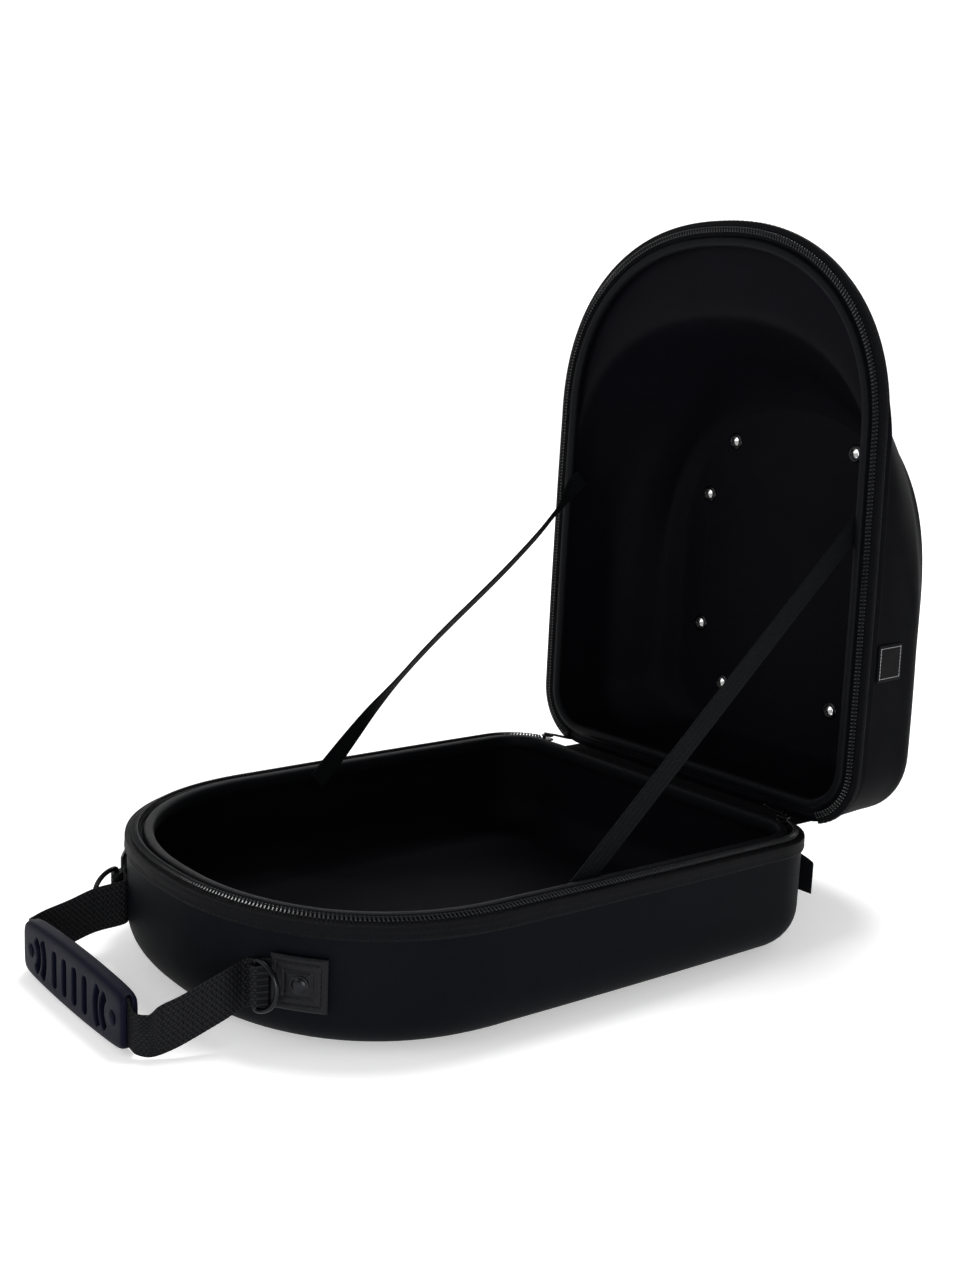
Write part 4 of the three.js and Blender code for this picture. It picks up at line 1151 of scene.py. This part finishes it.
def hinge_line():
    """The hinge's middle line in the YZ plane: up the tray's back, round a bend, under the lid."""
    y = tray_high[1] + 0.3 + HINGE_THICK / 2
    z = hinge_high[2] - HINGE_THICK / 2
    a = np.linspace(0, np.pi / 2, 9)
    bend_y = y + HINGE_BEND * (1 - np.cos(a))
    bend_z = z - HINGE_BEND * (1 - np.sin(a))
    up = np.linspace(hinge_low[2], z - HINGE_BEND, 22)[:-1]
    back = np.linspace(y + HINGE_BEND, hinge_high[1], 28)[1:]
    return np.stack([
        np.concatenate([y + 0 * up, bend_y, back]),
        np.concatenate([up, bend_z, z + 0 * back]),
    ], -1)


def hinge():
    """A ribbon whose width eases from the tray's to the lid's, with a slow wave across it."""
    line = hinge_line()
    centre = np.stack([0 * line[:, 0], line[:, 0], line[:, 1]], -1)
    direction = unit(np.gradient(centre, axis=0))
    across = np.broadcast_to((1.0, 0, 0), centre.shape)
    wide = hinge_high[0] - hinge_low[0]
    width = wide - (wide - HINGE_LID_WIDTH) * ease(line[:, 1], NARROW_FROM, NARROW_TO)
    return ribbon(centre, across, np.cross(across, direction), width, HINGE_THICK, columns=40)


hinge_cloth = new_piece("hinge_cloth", ribbon_mesh("hinge_cloth", hinge()))
dress(hinge_cloth, hinge_weave, "hinge_cloth", "hinge_strip")


def hinge_seams():
    """Lines of stitches along the hinge's lower edge and across its bend."""
    y = tray_high[1] + 0.3 + HINGE_THICK
    x = np.linspace(hinge_low[0] + 3, hinge_high[0] - 3, 60)
    low = np.stack([x, y + 0 * x, hinge_low[2] + 2.5 + 0 * x], -1)
    x = x * 0.8
    top = np.stack([x, y + 0 * x, hinge_low[2] + 14 + 0 * x], -1)
    under = np.stack([x, hinge_high[1] - 3 + 0 * x, hinge_high[2] - HINGE_THICK + 0 * x], -1)
    return [(low, (0, 1, 0)), (top, (0, 1, 0)), (under, (0, 0, -1))]


stitch_rows("hinge_stitches", hinge_seams(), 3.2, 2.4, 0.24, thread_black, "hinge_cloth")

# %% [markdown]
# A stay strap runs from the tray's rim to the lid's, on the inside of the bands. Cloth simulation could let
# the slack one hang, but a bow and a turn along a straight line say the same with two numbers.

# %% Stay straps
STAY_WIDTH = 11.7
STAY_THICK = 1.0
STAY_HOLD = 12.0
STAY_TRAY_PLACE = 163.0
STAY_LID_PLACE = 162.0
STAY_BOW = 5.0
STAY_TWIST = np.radians(44)
LID_HEEL = LID_TIP - CASE_LENGTH  # height of the lid's hinge edge


def stay(side, bow, twist):
    """A strap between the rims: straight, or bowed and turned about its length by twist.

    The bow is bow (4 t (1 - t) + 0.9 sin(2 pi t)), and the second wave fades out at both ends.
    """
    share = (STAY_TRAY_PLACE - STAY_HOLD - FRONT_ARCH) / (CASE_LENGTH - BACK_CORNER - FRONT_ARCH)
    half = CASE_WIDTH / 2 - SIDE_FLARE * (1 - share) ** 2
    x = side * (half - BAND_INSET - 0.3 - STAY_THICK / 2)
    low = np.array((x, FRONT_TIP + STAY_TRAY_PLACE, TRAY_RIM))
    high = np.array((x, LID_PLANE, LID_HEEL + STAY_LID_PLACE))
    along = unit(high - low)
    t = np.linspace(0, 1, 150)
    centre = (low - STAY_HOLD * along) + t[:, None] * (high - low + 2 * STAY_HOLD * along)
    turn = twist * (ease(t, 0.03, 0.3) * ease(1 - t, 0.02, 0.13))[:, None]
    fade = ease(t, 0, 0.2) * ease(1 - t, 0, 0.2)
    centre[:, 2] += bow * (4 * t * (1 - t) + 0.9 * np.sin(2 * np.pi * t) * fade)
    centre[:, 0] -= side * np.abs(np.sin(turn[:, 0])) * STAY_WIDTH / 2
    across0 = np.array((0, -along[2], along[1]))
    through0 = np.array((1.0, 0, 0))
    across = across0 * np.cos(turn) + np.cross(along, across0) * np.sin(turn)
    through_wall = through0 * np.cos(turn) + np.cross(along, through0) * np.sin(turn)
    return ribbon(centre, across, through_wall, STAY_WIDTH, STAY_THICK)


for name, points in (("right", stay(1, 0, 0)), ("left", stay(-1, STAY_BOW, STAY_TWIST))):
    strap = new_piece(f"stay_{name}", ribbon_mesh(f"stay_{name}", points))
    dress(strap, strap_weave, "strap_webbing", f"stay_strap_{name}")

# %% [markdown]
# ## The handle
#
# The handle hangs on the front curve, so its pieces need places on that curve. We measure the curve once
# as a fine table of points and distances, and look places up in it. The webbing then leaves the wall, dips to
# the surface and passes through the grip, on a line through a few places given as shares.

# %% Places on the front curve
CURVE_ANGLE = np.linspace(0, 1.5, 6000)
CURVE = np.stack([
    (CASE_WIDTH / 2 - SIDE_FLARE) * np.sin(CURVE_ANGLE) ** ARCH_POWER,
    FRONT_TIP + FRONT_ARCH * (1 - np.cos(CURVE_ANGLE) ** ARCH_POWER),
    0 * CURVE_ANGLE,
], -1)
CURVE_RUN = run_lengths(CURVE)
print("front curve from the tip:", round(CURVE_RUN[-1], 1), "mm")


def on_curve(distance):
    """The point of the right half of the front curve at a distance from the tip."""
    return np.stack([np.interp(distance, CURVE_RUN, CURVE[:, k]) for k in range(3)], -1)


def wall_place(distance, side):
    """Spot on the front curve at a distance from the tip, the direction along it and the one out of it."""
    spot = on_curve(distance) * (side, 1, 1)
    along = unit(on_curve(distance + 0.3) - on_curve(distance - 0.3)) * (side, 1, 1)
    out = np.stack([side * along[..., 1], -np.abs(along[..., 0]), 0 * along[..., 0]], -1)
    return spot, along, out


# %% [markdown]
# The webbing is stiff and stands on its edge. It leaves the wall beside each patch, dips and turns into the
# grip's end, where the real one is crushed into a fold. Ribs are part of the mesh, so they also show along
# the edges, and the weave between them is left to the finish.

# %% Webbing
WEB_WIDTH = 23.0
WEB_THICK = 1.6
WEB_COLUMNS = 36
WEB_STEP = 0.27
WEB_LEAVE = 60.0
WEB_DIP = 6.0
WALL_GAP = 0.3
PATCH_FROM, PATCH_TO = 75.0, 101.0
PATCH_MIDDLE = 34.0
GRIP_LIFT = 0.3
WEB_LOW = WEB_WIDTH / 2 + GRIP_LIFT + 0.2
grip_low, grip_high = corners("handle_grip")
grip_middle = (grip_low + grip_high) / 2
FREE_RIGHT = np.array([
    # share of the way out, bulge in widths of webbing, share of the drop
    (0.23, 0.23, 0.16), (0.47, 0.27, 0.5), (0.68, 0.29, 0.78), (0.86, 0.26, 0.95), (0.97, 0.16, 0.9),
])
FREE_LEFT = np.array([
    (0.29, 0.19, 0.22), (0.55, 0.3, 0.53), (0.78, 0.37, 0.75), (0.92, 0.3, 0.85), (0.99, 0.13, 0.8),
])


def web_half(side, table, grip_end):
    """Middle places of the webbing from under a patch into the grip's end."""
    distance = np.linspace(PATCH_TO - 2, WEB_LEAVE, 7)
    spot, _, out = wall_place(distance, side)
    held = spot + out * (WALL_GAP + WEB_THICK / 2)
    held[:, 2] = PATCH_MIDDLE - WEB_DIP * np.linspace(0, 1, 7) ** 2
    leave = held[-1]
    target = np.array((grip_end, grip_middle[1], grip_middle[2]))
    free = leave + table[:, :1] * (target - leave)
    free[:, 0] += side * table[:, 1] * WEB_WIDTH
    free[:, 2] = leave[2] + table[:, 2] * (WEB_LOW - leave[2])
    inside = target - np.array([(0, 0, 0), (4, 0, 0), (20, 0, 0)]) * side
    return np.concatenate([held, free, inside])


def web_line():
    """The whole webbing's middle line in even steps, fine enough for its ribs."""
    right = web_half(1, FREE_RIGHT, grip_high[0])
    left = web_half(-1, FREE_LEFT, grip_low[0])
    smooth = through(np.concatenate([right, left[::-1]]), 24)
    run = run_lengths(smooth)
    at = np.arange(0, run[-1], WEB_STEP)
    return np.stack([np.interp(at, run, smooth[:, k]) for k in range(3)], -1)


FOLD_PLACE = 11.0  # along the webbing from the grip's right end
FOLD_SINK = 4.4
FOLD_BUCKLE = 3.4
FOLD_REACH = 3.0
RIB_SWELL = 0.22


def webbing():
    """A ribbon that stands on its edge, with a fold near the grip.

    Its face swells by |sin(pi s / p)|^0.6 for each rib. From the grip to the fold the upper edge is sunk,
    and at the fold the face buckles by x exp(-x^2), x being the distance from it in units of 3 mm.
    """
    centre = web_line()
    along = np.gradient(centre, axis=0) * (1, 1, 0)
    outward = unit(np.stack([-along[:, 1], along[:, 0], 0 * along[:, 0]], -1))
    points = ribbon(centre, np.broadcast_to(UP, centre.shape), outward, WEB_WIDTH, WEB_THICK, WEB_COLUMNS)
    wide, face = flat_oval(WEB_COLUMNS)
    run = run_lengths(centre)[:, None]
    rib = RIB_SWELL * (np.abs(np.sin(np.pi * run / RIB_PITCH)) ** 0.6 - 0.6)
    first_half = run[:, 0] < run[-1, 0] / 2
    grip_end = run[first_half][np.argmin(np.abs(centre[first_half, 0] - grip_high[0]))]
    at = grip_end - run
    held_down = ease(at, -3, 2) * (1 - ease(at, FOLD_PLACE - 2, FOLD_PLACE + 3))
    sink = -FOLD_SINK * held_down * ease(wide[None], -0.2, 1.0)
    x = (at - FOLD_PLACE) / FOLD_REACH
    buckle = FOLD_BUCKLE * x * np.exp(-(x**2)) * ease(wide[None], -0.6, 1.0)
    return points + outward[:, None] * (rib * face[None] + buckle)[..., None] + UP * sink[..., None]


web = new_piece("webbing", ribbon_mesh("webbing", webbing()))
dress(web, web_weave_painted_shade, "handle_webbing", "handle_webbing")

# %% [markdown]
# The grip is a soft moulding round the webbing, high in the middle and slotted to its front. The body is a
# grid of flat ovals along X. The slots and the tunnel are cut out, and then a voxel remesh melts all edges
# into one skin and a smoothing pass rounds them, as the mould does.

# %% Grip
GRIP_END_HEIGHT = 26.4
GRIP_RIVET_INSET = 9.0
SLOT_WIDTH = 4.5
SLOT_HEIGHT = 18.2
SLOT_PITCH = 11.0
SLOT_RADII = (10.0, 16.5)
GRIP_VOXEL = 0.42
TUNNEL_ROOM = 0.35


def grip_body():
    """Flat ovals along X. At share t of the half length the height is end + (middle - end)(1 - t^2),
    and (1 - |t|^14)^(1/8) closes both ends."""
    length, thick, height = grip_high - grip_low
    t = np.sin(np.linspace(-np.pi / 2, np.pi / 2, 90))
    close = np.maximum(1 - np.abs(t) ** 14, 0) ** (1 / 8)
    tall = (GRIP_END_HEIGHT + (height - GRIP_END_HEIGHT) * (1 - t**2)) * (0.35 + 0.65 * close) * (close > 0)
    deep = thick * (0.55 + 0.45 * close) * (close > 0)
    a = np.linspace(0, 2 * np.pi, 64, endpoint=False)
    y, z = squarer(np.cos(a), 0.5), squarer(np.sin(a), 0.32)
    x = np.broadcast_to((t * length / 2)[:, None], (90, 64))
    return np.stack([x, deep[:, None] / 2 * y, tall[:, None] / 2 * z], -1) + grip_middle


def slot_outlines():
    """Flat outlines of the slots: four upright ones with round ends, and two arcs at each end rivet."""
    a = np.linspace(0, np.pi, 9)
    r = SLOT_WIDTH / 2
    straight = SLOT_HEIGHT / 2 - r
    top = np.stack([r * np.cos(a), straight + r * np.sin(a)], -1)
    upright = np.concatenate([top, -top])
    outlines = [upright + (k * SLOT_PITCH, 0) for k in (-1.5, -0.5, 0.5, 1.5)]
    half = (grip_high[0] - grip_low[0]) / 2
    for side in (-1, 1):
        for radius in SLOT_RADII:
            reach = min(np.radians(50), np.arcsin(min(1, SLOT_HEIGHT / 2 / radius)))
            b = np.linspace(-reach, reach, 15)
            outer = np.stack([-side * (radius + r) * np.cos(b), (radius + r) * np.sin(b)], -1)
            inner = np.stack([-side * (radius - r) * np.cos(b), (radius - r) * np.sin(b)], -1)
            outlines.append(np.concatenate([outer, inner[::-1]]) + (side * (half - GRIP_RIVET_INSET), 0))
    return outlines


def grip_cutter():
    """The slots, open to the front, and the webbing's tunnel, as one object."""
    meshes = []
    for outline in slot_outlines():
        flat = np.stack([outline[:, 0], 0 * outline[:, 0], outline[:, 1]], -1)
        wall = np.stack([flat + (0, -8, 0), flat]) + grip_middle
        meshes.append(grid_mesh("slot", wall, close_columns=True, caps=True))
    length = grip_high[0] - grip_low[0] + 4
    wide, deep = WEB_WIDTH / 2 + TUNNEL_ROOM, WEB_THICK / 2 + TUNNEL_ROOM
    section = np.array([(-deep, -wide), (deep, -wide), (deep, wide), (-deep, wide)])
    tunnel = np.array([[(x, *point) for point in section] for x in (-length / 2, length / 2)]) + grip_middle
    meshes.append(grid_mesh("tunnel", tunnel, close_columns=True, caps=True))
    return new_piece("grip_cutter", joined("grip_cutter", meshes))


grip = new_piece("grip", grid_mesh("grip", grip_body(), close_columns=True))
slots = grip_cutter()
cut(grip, slots)
bpy.data.objects.remove(slots)
melt = grip.modifiers.new("melt", "REMESH")
melt.mode = "VOXEL"
melt.voxel_size = GRIP_VOXEL * MM
calm = grip.modifiers.new("calm", "SMOOTH")
calm.factor = 0.5
calm.iterations = 6
bake(grip)
grip.data.shade_smooth()
dress(grip, grip_rubber, "grip_rubber", "handle_grip")

# %% [markdown]
# Round heads close the grip's two pins and hold the patches: a dome with a low skirt, turned about the
# direction that it faces. Each is set in place by three directions, like a stitch.

# %% Rivets
DOME = np.array([
    # share of the radius, share of the height
    (0, 1), (0.3, 0.97), (0.58, 0.84), (0.78, 0.62), (0.86, 0.42), (1, 0.36), (1, 0), (0, 0),
])


def rivet(name, spot, along, out, radius, high):
    """A domed head at a spot: radius across along and up, height along out."""
    outline = np.concatenate([through(DOME[:6], 4), DOME[6:]]) * (radius, high)
    angle = np.linspace(0, 2 * np.pi, 36, endpoint=False)[None, :, None]
    ring = np.asarray(along) * np.cos(angle) + UP * np.sin(angle)
    points = np.asarray(spot) + outline[:, :1, None] * ring + outline[:, 1:, None] * np.asarray(out)
    return new_piece(name, grid_mesh(name, points, close_columns=True))


for name, side in SIDES:
    low, high = corners(f"grip_rivet_{name}")
    spot = ((low[0] + high[0]) / 2, high[1] + 0.2, (low[2] + high[2]) / 2)
    radius, reach = (high[0] - low[0]) / 2, high[1] - low[1] + 0.2
    pin = rivet(f"grip_pin_{name}", spot, (1, 0, 0), (0, -1, 0), radius, reach)
    dress(pin, grip_rubber, "grip_rubber", f"grip_rivet_{name}")

# %% [markdown]
# ## Handle anchors
#
# On each side a leather patch is sewn over the webbing's end and riveted in the middle. In front of it a
# loop of webbing keeps a D-ring. The patch is a grid on the wall whose height over the wall is the sum of
# a soft edge, a padded field and two pressed lines, one of them under the stitches.

# %% Patches
PATCH_HEIGHT = 25.0
PATCH_THICK = 1.6
PATCH_SEAT = WALL_GAP + WEB_THICK + 0.3
SEAM_INSET = 3.0
FRAME_INSET = 6.6


def square_distance(u, v, width, height):
    """How far a point of the patch lies inside its nearest edge."""
    return np.minimum(np.minimum(u, width - u), np.minimum(v, height - v))


def patch_height(u, v, width, height):
    """Thickness of the patch: rises over its edge, pressed in along the seam and the inner frame."""
    inside = square_distance(u, v, width, height)
    edge = ease(inside, -0.1, 0.9)
    seam = np.exp(-(((inside - SEAM_INSET) / 0.45) ** 2))
    frame_line = np.exp(-(((inside - FRAME_INSET) / 0.6) ** 2))
    field = ease(inside, FRAME_INSET, FRAME_INSET + 1.5)
    return PATCH_THICK * (0.45 + 0.4 * edge + 0.25 * field * edge - 0.22 * seam - 0.25 * frame_line)


def on_patch(u, v, lift, side):
    """A point of the patch, u mm along the wall from its front edge, v mm up from its lower edge."""
    spot, _, out = wall_place(PATCH_FROM + u, side)
    point = spot + out * np.asarray(lift)[..., None]
    point[..., 2] = PATCH_MIDDLE - PATCH_HEIGHT / 2 + v
    return point


def patch(side):
    """The patch's front and back as one closed grid."""
    width = PATCH_TO - PATCH_FROM
    u, v = np.meshgrid(np.linspace(0, width, 90), np.linspace(0, PATCH_HEIGHT, 86))
    front = on_patch(u, v, PATCH_SEAT + patch_height(u, v, width, PATCH_HEIGHT), side)
    behind = on_patch(u, v, PATCH_SEAT + 0 * u, side)
    loop = np.concatenate([front, behind[:, ::-1]], 1)
    mesh = grid_mesh("patch", loop, close_columns=True)
    close_ends(mesh)
    return mesh


def patch_seam(side, inset, lift):
    """A square line of stitches at an inset from the patch's edge."""
    width = PATCH_TO - PATCH_FROM
    _, _, out = wall_place(PATCH_FROM + width / 2, side)
    sides = square_lines((inset, inset), (width - inset, PATCH_HEIGHT - inset))
    return [(on_patch(u, v, PATCH_SEAT + lift + 0 * u, side), out) for u, v in (line.T for line in sides)]


for name, side in SIDES:
    dress(new_piece(f"patch_{name}", patch(side)), patch_leather, "patch_leather", f"anchor_patch_{name}")
    seam = patch_seam(side, SEAM_INSET, PATCH_THICK * 0.68)
    stitch_rows(f"patch_stitches_{name}", seam, 2.6, 2.0, 0.25, thread_black, "patch_leather")
    spot, along, out = wall_place((PATCH_FROM + PATCH_TO) / 2 + 1, side)
    spot = spot + out * (PATCH_SEAT + PATCH_THICK * 0.95) + np.array((0, 0, PATCH_MIDDLE))
    head = rivet(f"rivet_head_{name}", spot, along, out, 4.3, 2.0)
    dress(head, black_metal, "black_metal", f"anchor_rivet_{name}")

# %% [markdown]
# A D-ring is a round wire bent to a D. Its path is half an ellipse and a straight bar, and the wire is a
# circle carried along it. The keeper is a strip of webbing that goes round the bar and back to the wall:
# a loop in plan, drawn out upwards, with the same ribs as the handle.

# %% D-rings and keepers
RING_WIRE = 1.25
RING_HEIGHT = 26.0
RING_DEPTH = 15.0
RING_TILT = {"right": np.radians(9), "left": np.radians(122)}
RING_MIDDLE = 31.0
KEEPER_WALL = 1.3
KEEPER_HEIGHT = 19.0
KEEPER_TAIL = 3.2
KEEPER_RADIUS = RING_WIRE + 0.3 + KEEPER_WALL


def bar_place(side):
    """Middle of the ring's bar with the directions along the wall and out of it."""
    spot, along, out = wall_place(PATCH_FROM - KEEPER_TAIL - KEEPER_RADIUS, side)
    return spot + out * (PATCH_SEAT + KEEPER_RADIUS) + np.array((0, 0, RING_MIDDLE)), along, out


def ring_path(side, tilt):
    """The wire's middle line: half an ellipse from the bar's lower end to its upper end, and the bar."""
    bar, along, out = bar_place(side)
    reach = along * np.cos(tilt) + out * np.sin(tilt)
    a = np.linspace(-np.pi / 2, np.pi / 2, 41)[:, None]
    high, deep = RING_HEIGHT / 2 - RING_WIRE, RING_DEPTH - 2 * RING_WIRE
    bow = bar + UP * high * np.sin(a) + reach * deep * np.cos(a)
    down = np.linspace(1, -1, 22)[1:-1, None]
    straight = bar + UP * high * down
    path = np.concatenate([bow, straight])
    for _ in range(3):
        path = 0.25 * np.roll(path, 1, 0) + 0.5 * path + 0.25 * np.roll(path, -1, 0)
    return path, np.cross(reach, UP)


def wire(name, path, normal, radius, sides=18):
    """A closed round wire: circles across the path, in its plane's normal and the direction between."""
    along = unit(np.roll(path, -1, 0) - np.roll(path, 1, 0))
    inner = np.cross(along, normal)
    a = np.linspace(0, 2 * np.pi, sides, endpoint=False)[None, :, None]
    points = path[:, None] + radius * (np.asarray(normal) * np.cos(a) + inner[:, None] * np.sin(a))
    return grid_mesh(name, points, close_rows=True, close_columns=True)


def keeper(side):
    """The loop's outline round the bar and along the wall, with ribs across its thickness."""
    bar, along, out = bar_place(side)
    inner = RING_WIRE + 0.3
    a = np.linspace(-np.pi / 2, -np.pi * 2 + 0.55, 40)
    round_out = np.stack([KEEPER_RADIUS * np.cos(a), KEEPER_RADIUS * np.sin(a)], -1)
    tail = KEEPER_RADIUS + KEEPER_TAIL - 0.4
    foot = np.array([(tail, -KEEPER_RADIUS + KEEPER_WALL), (tail, -KEEPER_RADIUS)])
    outer = np.concatenate([round_out, foot])
    b = np.linspace(0, 2 * np.pi, len(outer), endpoint=False) + np.pi / 2
    hole = np.stack([inner * np.cos(-b), inner * np.sin(-b)], -1)
    z = np.linspace(-KEEPER_HEIGHT / 2, KEEPER_HEIGHT / 2, 60)
    rib = 1 + 0.025 * np.sin(2 * np.pi * z / 1.6)
    loops = [hole, *([outer * r for r in rib]), hole]
    height = [z[0], *z, z[-1]]
    points = [bar + loop[:, :1] * along + loop[:, 1:] * out + UP * h for loop, h in zip(loops, height)]
    return grid_mesh("keeper", np.array(points), close_rows=True, close_columns=True)


for name, side in SIDES:
    path, normal = ring_path(side, RING_TILT[name])
    ring = new_piece(f"ring_{name}", wire("ring", path, normal, RING_WIRE))
    dress(ring, black_metal, "black_metal", f"d_ring_{name}")
    dress(new_piece(f"keeper_{name}", keeper(side)), web_weave_painted_shade, "strap_webbing", f"ring_keeper_{name}")

# %% [markdown]
# ## Label
#
# A woven label is sewn to the crown's right side. It stays bare here, with a light stitched border. It
# follows the wall, so its points come from the crown's own half width at each depth.

# %% Label
label_low, label_high = corners("lid_label")
LABEL_THICK = 0.8
LABEL_GAP = 0.3
BORDER_INSET = 1.8


def crown_side(depth, z):
    """Half the crown's outer width on its sides, at a depth from the rim plane and a height."""
    height, side, front, arch, heel = through(CROWN_TABLE, 7).T
    share = (depth - BRIM_DEPTH) / (CROWN_DEPTH - BRIM_DEPTH)
    side, front, arch, heel = (np.interp(share, height, column) for column in (side, front, arch, heel))
    start = CROWN_FOOT + front * CROWN_SLOPE + arch * CASE_WIDTH / 2
    stop = CASE_LENGTH - heel * CROWN_HEEL - BACK_CORNER - side * CROWN_SHOULDER * 0.15
    t = (LID_TIP - z - start) / (stop - start)
    return CASE_WIDTH / 2 - side * CROWN_SHOULDER - SIDE_FLARE * (1 - share) * (1 - t) ** 2


def on_label(depth, z, lift):
    """A point of the label at a depth from the rim plane and a height, lifted off the crown's side."""
    x = crown_side(depth, z) + lift
    return np.stack([x, LID_PLANE + depth + 0 * x, z + 0 * x], -1)


def label():
    """Front and back of the label as a closed grid, thinner at its folded edge."""
    depth = np.linspace(label_low[1], label_high[1], 40)[:, None] - LID_PLANE
    z = np.linspace(label_low[2], label_high[2], 40)[None]
    inside = square_distance(
        depth + LID_PLANE - label_low[1] + 0 * z, z - label_low[2] + 0 * depth,
        label_high[1] - label_low[1], label_high[2] - label_low[2],
    )
    pressed = 0.12 * np.exp(-(((inside - BORDER_INSET) / 0.35) ** 2))
    front = on_label(depth, z, LABEL_GAP + LABEL_THICK * (0.55 + 0.45 * ease(inside, 0, 0.7)) - pressed)
    behind = on_label(depth, z, LABEL_GAP + 0 * inside)
    mesh = grid_mesh("label", np.concatenate([front, behind[:, ::-1]], 1), close_columns=True)
    close_ends(mesh)
    return mesh


def label_border():
    """Four lines of stitches just inside the label's edge."""
    low = (label_low[1] - LID_PLANE + BORDER_INSET, label_low[2] + BORDER_INSET)
    high = (label_high[1] - LID_PLANE - BORDER_INSET, label_high[2] - BORDER_INSET)
    sides = [line.T for line in square_lines(low, high)]
    return [(on_label(depth, z, LABEL_GAP + LABEL_THICK), (1, 0, 0)) for depth, z in sides]


dress(new_piece("label", label()), label_weave, "label_cloth", "lid_label")
stitch_rows("label_border", label_border(), 1.9, 1.6, 0.17, thread_grey, "label_cloth")

# %% [markdown]
# The lining has a seam on each side of the crown's panel, between two eyelets: a thin welt of cloth.

# %% Lining seams
SEAM_ENDS = (eyelets[2:4, 2].mean() - 8, eyelets[4:6, 2].mean() + 8)


def welt(side):
    """A thin round cord on the panel's inner face, flattened into it at both ends."""
    t = np.linspace(0, 1, 60)
    z = SEAM_ENDS[0] + t * (SEAM_ENDS[1] - SEAM_ENDS[0])
    swell = np.sin(np.pi * t) ** 0.2
    y = LID_PLANE + CROWN_DEPTH - SHELL_WALL
    a = np.linspace(0, 2 * np.pi, 10, endpoint=False)
    x = side * eyelets[:, 0].max() + 0.55 * np.cos(a)[None] * swell[:, None]
    deep = y + 0.42 * np.sin(a)[None] * swell[:, None]
    points = np.stack([x, deep, np.broadcast_to(z[:, None], x.shape)], -1)
    return grid_mesh("lining_seam", points, close_columns=True, caps=True)


for name, side in SIDES:
    dress(new_piece(f"lining_seam_{name}", welt(side)), lining_cloth, "shell_cloth")

# %% [markdown]
# ## Floor and light
#
# The case stands in a white studio. One sheet makes floor and wall: flat under the case, then curved up
# behind it. It glows a little, more so far from the case, so the ground stays white. A broad sun from high
# behind makes the soft shadow, and two soft lamps, one near the handle's side and one far in front, draw
# the highlights on the black cloth.

# %% Studio sweep
SWEEP_BACK = 2600.0
SWEEP_FRONT = -2200.0
SWEEP_RADIUS = 900.0
SWEEP_HALF = 3500.0
SWEEP_TOP = 3500.0
GLOW_START = 0.5  # metres from the case's origin
GLOW_GAIN = 1.4
GLOW_NEAR, GLOW_FAR = (0.4,) * 3, (0.6,) * 3


def sweep():
    """Floor, quarter circle and wall as one grid, facing the camera from any side."""
    a = np.linspace(0, np.pi / 2, 24)
    y = np.concatenate([[SWEEP_FRONT], SWEEP_BACK + SWEEP_RADIUS * np.sin(a), [SWEEP_BACK + SWEEP_RADIUS]])
    z = np.concatenate([[0], SWEEP_RADIUS * (1 - np.cos(a)), [SWEEP_TOP]])
    x = np.linspace(-SWEEP_HALF, SWEEP_HALF, 2)
    flat = np.stack([np.broadcast_to(v, (len(y), 2)) for v in (x[None], y[:, None], z[:, None])], -1)
    c, s = np.cos(CAMERA_YAW), np.sin(CAMERA_YAW)
    turn_z = np.array([[c, -s, 0], [s, c, 0], [0, 0, 1]])
    return flat @ turn_z.T


floor = new_piece("floor", grid_mesh("floor", sweep()))
floor_paint = finish(
    "floor_paint", pair((0.86, 0.86, 0.86), (0.88, 0.88, 0.88), 400), rough_between(0.85, 0.9, 300),
    lambda tree: cloud(tree, place_of(tree), 40), 0.02, Specular_IOR_Level=0.1, Emission_Strength=1.0,
)
floor_tree = floor_paint.node_tree
x, y, z = axes(floor_tree, place_of(floor_tree))
far = (((x * x + y * y + z * z) ** 0.5 - GLOW_START) * GLOW_GAIN).larger(0)
glow = tint(floor_tree, far.smaller(1), GLOW_NEAR, GLOW_FAR)
floor_tree.links.new(glow.socket, floor_tree.nodes["Principled BSDF"].inputs["Emission Color"])
floor.data.materials.append(floor_paint)
print("floor", len(floor.data.polygons), "faces")


# %% [markdown]
# A sun gives the shadow its direction and its soft border, because its angle is wide. The sky fills the
# rest evenly, as a white tent does in a studio.

# %% Lamps and sky
def lamp(name, kind, place, target, energy, **settings):
    """A lamp at a place, in mm, that points at a target."""
    data = bpy.data.lights.new(name, kind)
    data.energy = energy
    for key, value in settings.items():
        setattr(data, key, value)
    light = bpy.data.objects.new(name, data)
    bpy.context.scene.collection.objects.link(light)
    light.location = Vector(place) * MM
    light.rotation_euler = (Vector(target) - Vector(place)).to_track_quat("-Z", "Y").to_euler()
    return light


CASE_MIDDLE = (0, 60, 130)
lamp("sun_behind", "SUN", (-330, 700, 2200), (0, 0, 0), 1.75, angle=np.radians(20))
lamp("lamp_right", "AREA", (760, -560, 120), (100, 0, 40), 3.2, size=0.35)
lamp("lamp_front", "AREA", (-300, -1500, 900), CASE_MIDDLE, 6, size=1.0)
world = bpy.data.worlds.new("studio")
world.use_nodes = True
world.node_tree.nodes["Background"].inputs[0].default_value = (1, 1, 1, 1)
world.node_tree.nodes["Background"].inputs[1].default_value = 0.42
bpy.context.scene.world = world
bpy.context.scene.view_settings.view_transform = "Standard"
